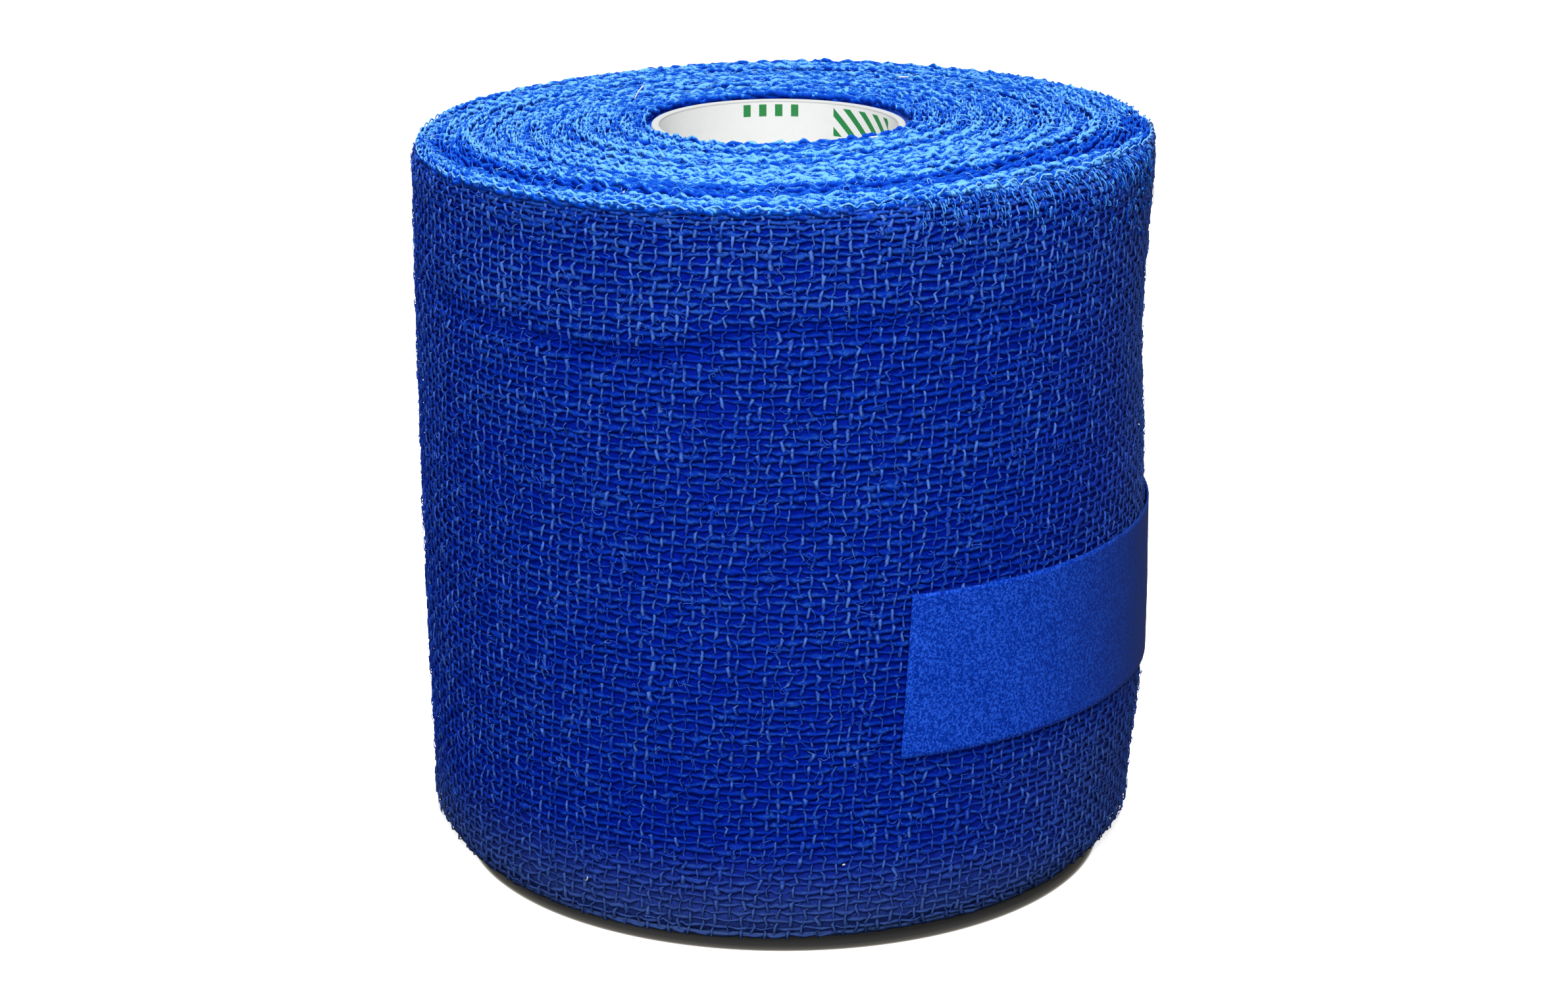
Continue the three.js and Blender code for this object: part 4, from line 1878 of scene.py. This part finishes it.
@dataclass(frozen=True)
class PaperFinish:
    """White wound paper with faint fibres, a greyer cut edge and plain printed dashes."""

    name: str = "white_paper"
    pale: Colour = (0.75, 0.76, 0.75)
    shaded: Colour = (0.71, 0.72, 0.71)
    cut_edge: Colour = (0.47, 0.48, 0.47)
    ink: Colour = (0.012, 0.21, 0.05)
    low_roughness: float = 0.6
    high_roughness: float = 0.8
    gloss: float = 0.35
    bump: float = 0.25
    bump_depth: float = 0.05
    coarse_fibres: float = 500.0
    fine_fibres: float = 1800.0
    fibre_contrast: float = 0.9
    radius: float = 13.0
    middle_x: float = -0.5
    edge_from: float = 80.25
    edge_to: float = 81.25
    upright_dashes: Dashes = Dashes(0.9, 0.42, 0.0, (-4.6, 2.3), (78.6, 80.0))
    slanted_dashes: Dashes = Dashes(1.1, 0.5, 1.0, (6.4, 15.5), (76.6, 79.9))

    def make(self) -> bpy.types.Material:
        """Builds the material."""
        material, shade, surface = new_material(self.name)
        grain = shade.use(
            FIBRE_GRAIN,
            Coarse_Scale=self.coarse_fibres,
            Fine_Scale=self.fine_fibres,
            Contrast=self.fibre_contrast,
        )
        colour = shade.ramp(grain["Mask"], [(0.0, self.shaded), (1.0, self.pale)])
        around, height = self.unrolled(shade)
        upright = self.upright_dashes.mask(shade, around, height)
        slanted = self.slanted_dashes.mask(shade, around, height)
        colour = shade.mix(shade.math("ADD", upright, slanted), colour, self.ink)
        edge = shade.between(height, self.edge_from, self.edge_to)
        rough = shade.spread(grain["Mask"], self.low_roughness, self.high_roughness)
        shade.fill(
            surface,
            Base_Color=shade.mix(edge, colour, self.cut_edge),
            Roughness=rough,
            Normal=shade.bump(grain["Height"], self.bump, self.bump_depth),
            Specular_IOR_Level=self.gloss,
        )
        return material

    def unrolled(self, shade: Shade) -> tuple[Socket, Socket]:
        """Lays the inner wall flat.

        Args:
            shade: Adds the nodes.

        Returns:
            The way round the tube from its back, and the height, in millimetres.
        """
        apart = shade.node("ShaderNodeSeparateXYZ")
        shade.join(apart, shade.place())
        x, y, z = apart.outputs
        turn = shade.math("ARCTAN2", shade.math("SUBTRACT", x, self.middle_x * MM), y)
        return shade.math("MULTIPLY", turn, self.radius), shade.math("DIVIDE", z, MM)


@dataclass
class PaperTube:
    """The plain paper tube that the cloth is wound on."""

    form: WoundForm = FORM
    outer_radius: float = 14.2
    wall: float = 0.9
    top: float = 80.5
    sides: int = 144
    edge_width: float = 0.18

    def build(self) -> Piece:
        """Makes the tube from an open cylinder, and gives it its wall and soft edges."""
        deselect_all()
        bpy.ops.mesh.primitive_cylinder_add(
            vertices=self.sides,
            radius=self.outer_radius * MM,
            depth=self.top * MM,
            end_fill_type="NOTHING",
            location=(self.form.bore_shift * MM, 0.0, self.top * MM / 2.0),
        )
        piece = new_primitive("paper_tube")
        bpy.ops.object.transform_apply(location=True, rotation=True, scale=True)
        apply_modifier(piece, "SOLIDIFY", thickness=self.wall * MM, offset=-1.0)
        apply_modifier(piece, "BEVEL", width=self.edge_width * MM, segments=2, limit_method="ANGLE")
        piece.data.shade_smooth()
        settle(piece, PaperFinish().make())
        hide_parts("core_tube")
        return piece


@dataclass(frozen=True)
class TapeFinish:
    """Thin matte blue tape with a fine pressed texture, and painted shade round its right side."""

    name: str = "closing_tape_film"
    deep: Colour = (0.0002, 0.018, 0.28)
    body: Colour = (0.0015, 0.048, 0.50)
    light: Colour = (0.026, 0.125, 0.80)
    # Painted shade: the colour where the tape turns away from the light.
    painted_grey_shade: Colour = (0.006, 0.026, 0.15)
    coarse_grain: float = 3000.0
    fine_grain: float = 5600.0
    grain_contrast: float = 4.0
    grain_share: float = 0.75
    blotch_scale: float = 260.0
    blotch_share: float = 0.25
    low_roughness: float = 0.5
    high_roughness: float = 0.75
    gloss: float = 0.06
    bump: float = 0.35
    bump_depth: float = 0.1

    def make(self) -> bpy.types.Material:
        """Builds the material."""
        material, shade, surface = new_material(self.name)
        grain = shade.use(
            FIBRE_GRAIN,
            Coarse_Scale=self.coarse_grain,
            Fine_Scale=self.fine_grain,
            Contrast=self.grain_contrast,
        )
        blotch = shade.use(SOFT_BLOTCHES, Scale=self.blotch_scale)["Mask"]
        mottle = shade.math("MULTIPLY", grain["Mask"], self.grain_share)
        cloud = shade.math("MULTIPLY", blotch, self.blotch_share)
        level = shade.math("ADD", mottle, cloud)
        film = shade.ramp(level, [(0.0, self.deep), (0.5, self.body), (1.0, self.light)])
        shade.fill(
            surface,
            Base_Color=shade.mix(shade.attribute("painted_side_shade"), film, self.painted_grey_shade),
            Roughness=shade.spread(level, self.low_roughness, self.high_roughness),
            Normal=shade.bump(grain["Height"], self.bump, self.bump_depth),
            Specular_IOR_Level=self.gloss,
        )
        return material


@dataclass
class ClosingTape:
    """The strip of tape that holds the free end down."""

    form: WoundForm = FORM
    start_top: float = 19.0
    start_foot: float = 17.5
    end: float = 112.0
    foot: float = 20.2
    top: float = 38.4
    thickness: float = 0.22
    stand_off: float = 0.12
    bridge: float = 0.25
    bridge_angle: float = 55.0
    bridge_round: float = 32.0
    bridge_up: float = 10.0
    wrinkles: int = 14
    wrinkle_inset: float = 2.0
    wrinkle_slope: float = 0.8
    wrinkle_width: float = 0.35
    wrinkle_heights: tuple[float, float] = (0.03, 0.08)
    wrinkle_lengths: tuple[float, float] = (1.0, 3.0)
    length_per_degree: float = 0.72
    weave_depth: float = 0.02
    weave_round: float = 1.865
    weave_up: float = 0.84
    # Where painted shade on the tape starts, how far it spreads and how dark it gets.
    shade_from: float = 38.0
    shade_over: float = 45.0
    deepest_shade: float = 0.8
    steps_round: int = 140
    steps_up: int = 36
    seed: int = SEED

    def lift_at(self, angle: Array, z: Array) -> Array:
        """Adds up what holds the tape off the cloth.

        Args:
            angle: Turn angles.
            z: Heights.

        Returns:
            How far the inner face stands off, with wrinkles and the print of the weave.
        """
        round_share = smooth((angle - self.bridge_angle) / self.bridge_round)
        bridging = self.bridge * round_share * smooth((z - self.foot) / self.bridge_up)
        rng = np.random.default_rng(self.seed)
        wrinkled = np.zeros(np.broadcast(angle, z).shape)
        for _ in range(self.wrinkles):
            wrinkled = wrinkled + self.wrinkle_at(rng, angle, z)
        round_wave = np.sin(math.tau * angle / self.weave_round)
        weave = self.weave_depth * round_wave * np.sin(math.tau * z / self.weave_up)
        return self.stand_off + bridging + wrinkled + weave

    def wrinkle_at(self, rng: np.random.Generator, angle: Array, z: Array) -> Array:
        """Draws one short wrinkle.

        Args:
            rng: Source of the random numbers.
            angle: Turn angles.
            z: Heights.

        Returns:
            How high it stands at each place.
        """
        low = self.foot + self.wrinkle_inset
        high = self.top - self.wrinkle_inset
        from_angle = angle - rng.uniform(self.start_top, self.end)
        from_z = z - rng.uniform(low, high)
        slope = rng.uniform(-self.wrinkle_slope, self.wrinkle_slope)
        across = from_angle * self.length_per_degree - slope * from_z
        along = from_z + slope * from_angle * self.length_per_degree
        height = rng.uniform(*self.wrinkle_heights)
        length = rng.uniform(*self.wrinkle_lengths)
        return height * bell(across / self.wrinkle_width) * bell(along / length)

    def build(self) -> Piece:
        """Bends a flat grid round the cloth and gives it its thickness."""
        deselect_all()
        bpy.ops.mesh.primitive_grid_add(
            x_subdivisions=self.steps_round, y_subdivisions=self.steps_up, size=2.0 * MM
        )
        piece = new_primitive("closing_tape_strip")
        flat = read_points(piece)
        round_share = (flat[:, 0] + 1.0) / 2.0
        up_share = (flat[:, 1] + 1.0) / 2.0
        z = self.foot + (self.top - self.foot) * up_share
        start = self.start_foot + (self.start_top - self.start_foot) * up_share
        angle = start + (self.end - start) * round_share
        turned = np.maximum(self.form.free_end - angle, 0.0)
        radius = self.form.wall_radius(turned, z) + self.lift_at(angle, z)
        write_points(piece, on_turn(angle, radius, z))
        apply_modifier(piece, "SOLIDIFY", thickness=self.thickness * MM, offset=1.0)
        piece.data.shade_smooth()
        # Painted shade: darker round the right side, where the tape gets less light.
        past = angle_of(read_points(piece)) - self.shade_from
        mark(piece, "painted_side_shade", self.deepest_shade * smooth(past / self.shade_over))
        settle(piece, TapeFinish().make())
        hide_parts("closing_tape")
        return piece


@dataclass(frozen=True)
class SoftBox:
    """A soft studio light."""

    name: str
    place: Place
    target: Place
    size: float
    power: float

    def build(self) -> None:
        """Adds the light, facing its target."""
        light = bpy.data.lights.new(self.name, "AREA")
        light.shape = "SQUARE"
        light.size = self.size
        light.energy = self.power
        lamp = add_object(self.name, light)
        lamp.location = self.place
        way = np.array(self.target) - np.array(self.place)
        flat = math.hypot(way[0], way[1])
        lamp.rotation_euler = (math.atan2(flat, -way[2]), 0.0, math.atan2(-way[0], way[1]))


SOFT_BOXES = (
    SoftBox("front_softbox", (-0.02, -0.36, 0.30), (0.0, 0.0, 0.05), 0.26, 1.75),
    SoftBox("back_left_softbox", (-0.30, 0.36, 0.20), (0.0, 0.0, 0.045), 0.30, 0.10),
    SoftBox("back_right_softbox", (0.30, 0.36, 0.20), (0.0, 0.0, 0.045), 0.30, 0.16),
)


@dataclass
class Studio:
    """Pale floor, white surroundings, soft light and the camera."""

    camera_back: float = 0.381
    camera_up: float = 0.1566
    pitch_down: float = 17.4
    lens: float = 79.6
    shift_x: float = 0.0006
    sky_light: float = 0.2
    sun_strength: float = 3.5
    sun_spread: float = 20.0
    sun_tilt: float = -3.0
    floor_size: float = 8.0
    floor_below: float = 0.02
    floor_glow: float = 0.75
    floor_bounce: float = 0.2
    floor_roughness: float = 0.9
    floor_gloss: float = 0.1
    shadow_middle: tuple[float, float] = (0.0, -7.6)
    shadow_from: float = 33.6
    shadow_to: float = 36.5
    shadow_stops: tuple[tuple[float, Colour], ...] = (
        (0.0, (0.012, 0.012, 0.012)),
        (0.5, (0.022, 0.021, 0.020)),
        (0.8, (0.055, 0.052, 0.045)),
        (0.9, (0.17, 0.155, 0.13)),
        (0.98, (0.92, 0.92, 0.92)),
    )

    def add_camera(self) -> None:
        """Adds the camera at the photograph's place."""
        camera = bpy.data.cameras.new("camera")
        camera.lens = self.lens
        camera.sensor_width = 36.0
        camera.sensor_fit = "HORIZONTAL"
        camera.shift_x = self.shift_x
        camera.clip_start = 0.01
        holder = add_object("camera", camera)
        holder.location = (0.0, -self.camera_back, self.camera_up)
        holder.rotation_euler = (math.radians(90.0 - self.pitch_down), 0.0, 0.0)
        bpy.context.scene.camera = holder

    def add_floor(self) -> None:
        """Adds the pale floor."""
        deselect_all()
        place = (0.0, 0.0, -self.floor_below * MM)
        bpy.ops.mesh.primitive_plane_add(size=self.floor_size, location=place)
        floor = new_primitive("floor")
        material, shade, surface = new_material("pale_floor")
        colour = self.contact_shadow(shade)
        shade.fill(
            surface,
            Base_Color=colour,
            Emission_Color=colour,
            Emission_Strength=self.floor_glow,
            Roughness=self.floor_roughness,
            Specular_IOR_Level=self.floor_gloss,
        )
        grey = (self.floor_bounce,) * 3 + (1.0,)
        bounced = shade.join(shade.node("ShaderNodeBsdfDiffuse"), grey)
        both = shade.by_ray(bounced, surface.outputs["BSDF"])
        shade.fill(material.node_tree.nodes["Material Output"], Surface=both)
        floor.data.materials.append(material)

    def contact_shadow(self, shade: Shade) -> Socket:
        """Shades the floor.

        Args:
            shade: Adds the nodes.

        Returns:
            Its colour: near white, but dark where the roll's foot keeps the light off.
        """
        middle = tuple(part * MM for part in self.shadow_middle)
        distance = shade.vector("DISTANCE", shade.place(), (*middle, 0.0)).outputs["Value"]
        outside = shade.share(distance, self.shadow_from * MM, self.shadow_to * MM)
        return shade.ramp(outside, list(self.shadow_stops))

    def add_surroundings(self) -> None:
        """Adds an even white surround, dimmer as a light than it looks."""
        world = bpy.data.worlds.new("surround")
        world.use_nodes = True
        world.node_tree.nodes.clear()
        bpy.context.scene.world = world
        shade = Shade(world.node_tree)
        seen = shade.join(shade.node("ShaderNodeBackground"))
        lit = shade.fill(shade.node("ShaderNodeBackground"), Strength=self.sky_light)
        both = shade.by_ray(shade.join(lit), seen)
        shade.fill(shade.node("ShaderNodeOutputWorld"), Surface=both)

    def add_overhead(self) -> None:
        """Adds the wide soft light from above."""
        light = bpy.data.lights.new("overhead", "SUN")
        light.energy = self.sun_strength
        light.angle = math.radians(self.sun_spread)
        lamp = add_object("overhead", light)
        lamp.rotation_euler = (math.radians(self.sun_tilt), 0.0, 0.0)

    def build(self) -> None:
        """Sets up the whole studio."""
        bpy.context.scene.view_settings.view_transform = "Standard"
        self.add_camera()
        self.add_floor()
        self.add_surroundings()
        self.add_overhead()
        for box in SOFT_BOXES:
            box.build()


def main() -> None:
    """Builds the studio and every piece of the roll."""
    logging.basicConfig(level=logging.INFO, format="%(name)s %(message)s")
    Studio().build()
    WoundBody().build()
    OuterWeave().build()
    edges = (
        WoundEdge("upper_selvage", RollEnd.TOP, EDGE_FINISH),
        WoundEdge(
            "upper_selvage_loops", RollEnd.TOP, LOOP_FINISH, phase=2.6, below_crest=0.3,
            outward_by=0.1, wave_up=0.15, half_height=0.3, half_width=0.12,
        ),
        WoundEdge(
            "rim_zigzag", RollEnd.TOP, RIM_FINISH, laid_turns=1, spacing=0.28, period=2.2,
            wave_up=0.34, wave_across=0.2, curl=0.04, below_crest=-0.06, outward_by=0.06,
            half_height=0.13, half_width=0.1, tone=0.8,
        ),
        WoundEdge("foot_selvage", RollEnd.FOOT, FOOT_FINISH, spacing=1.4, half_width=0.2),
    )
    for edge in edges:
        edge.build()
    LooseFibres().build()
    PaperTube().build()
    ClosingTape().build()


if __name__ == "__main__":
    main()
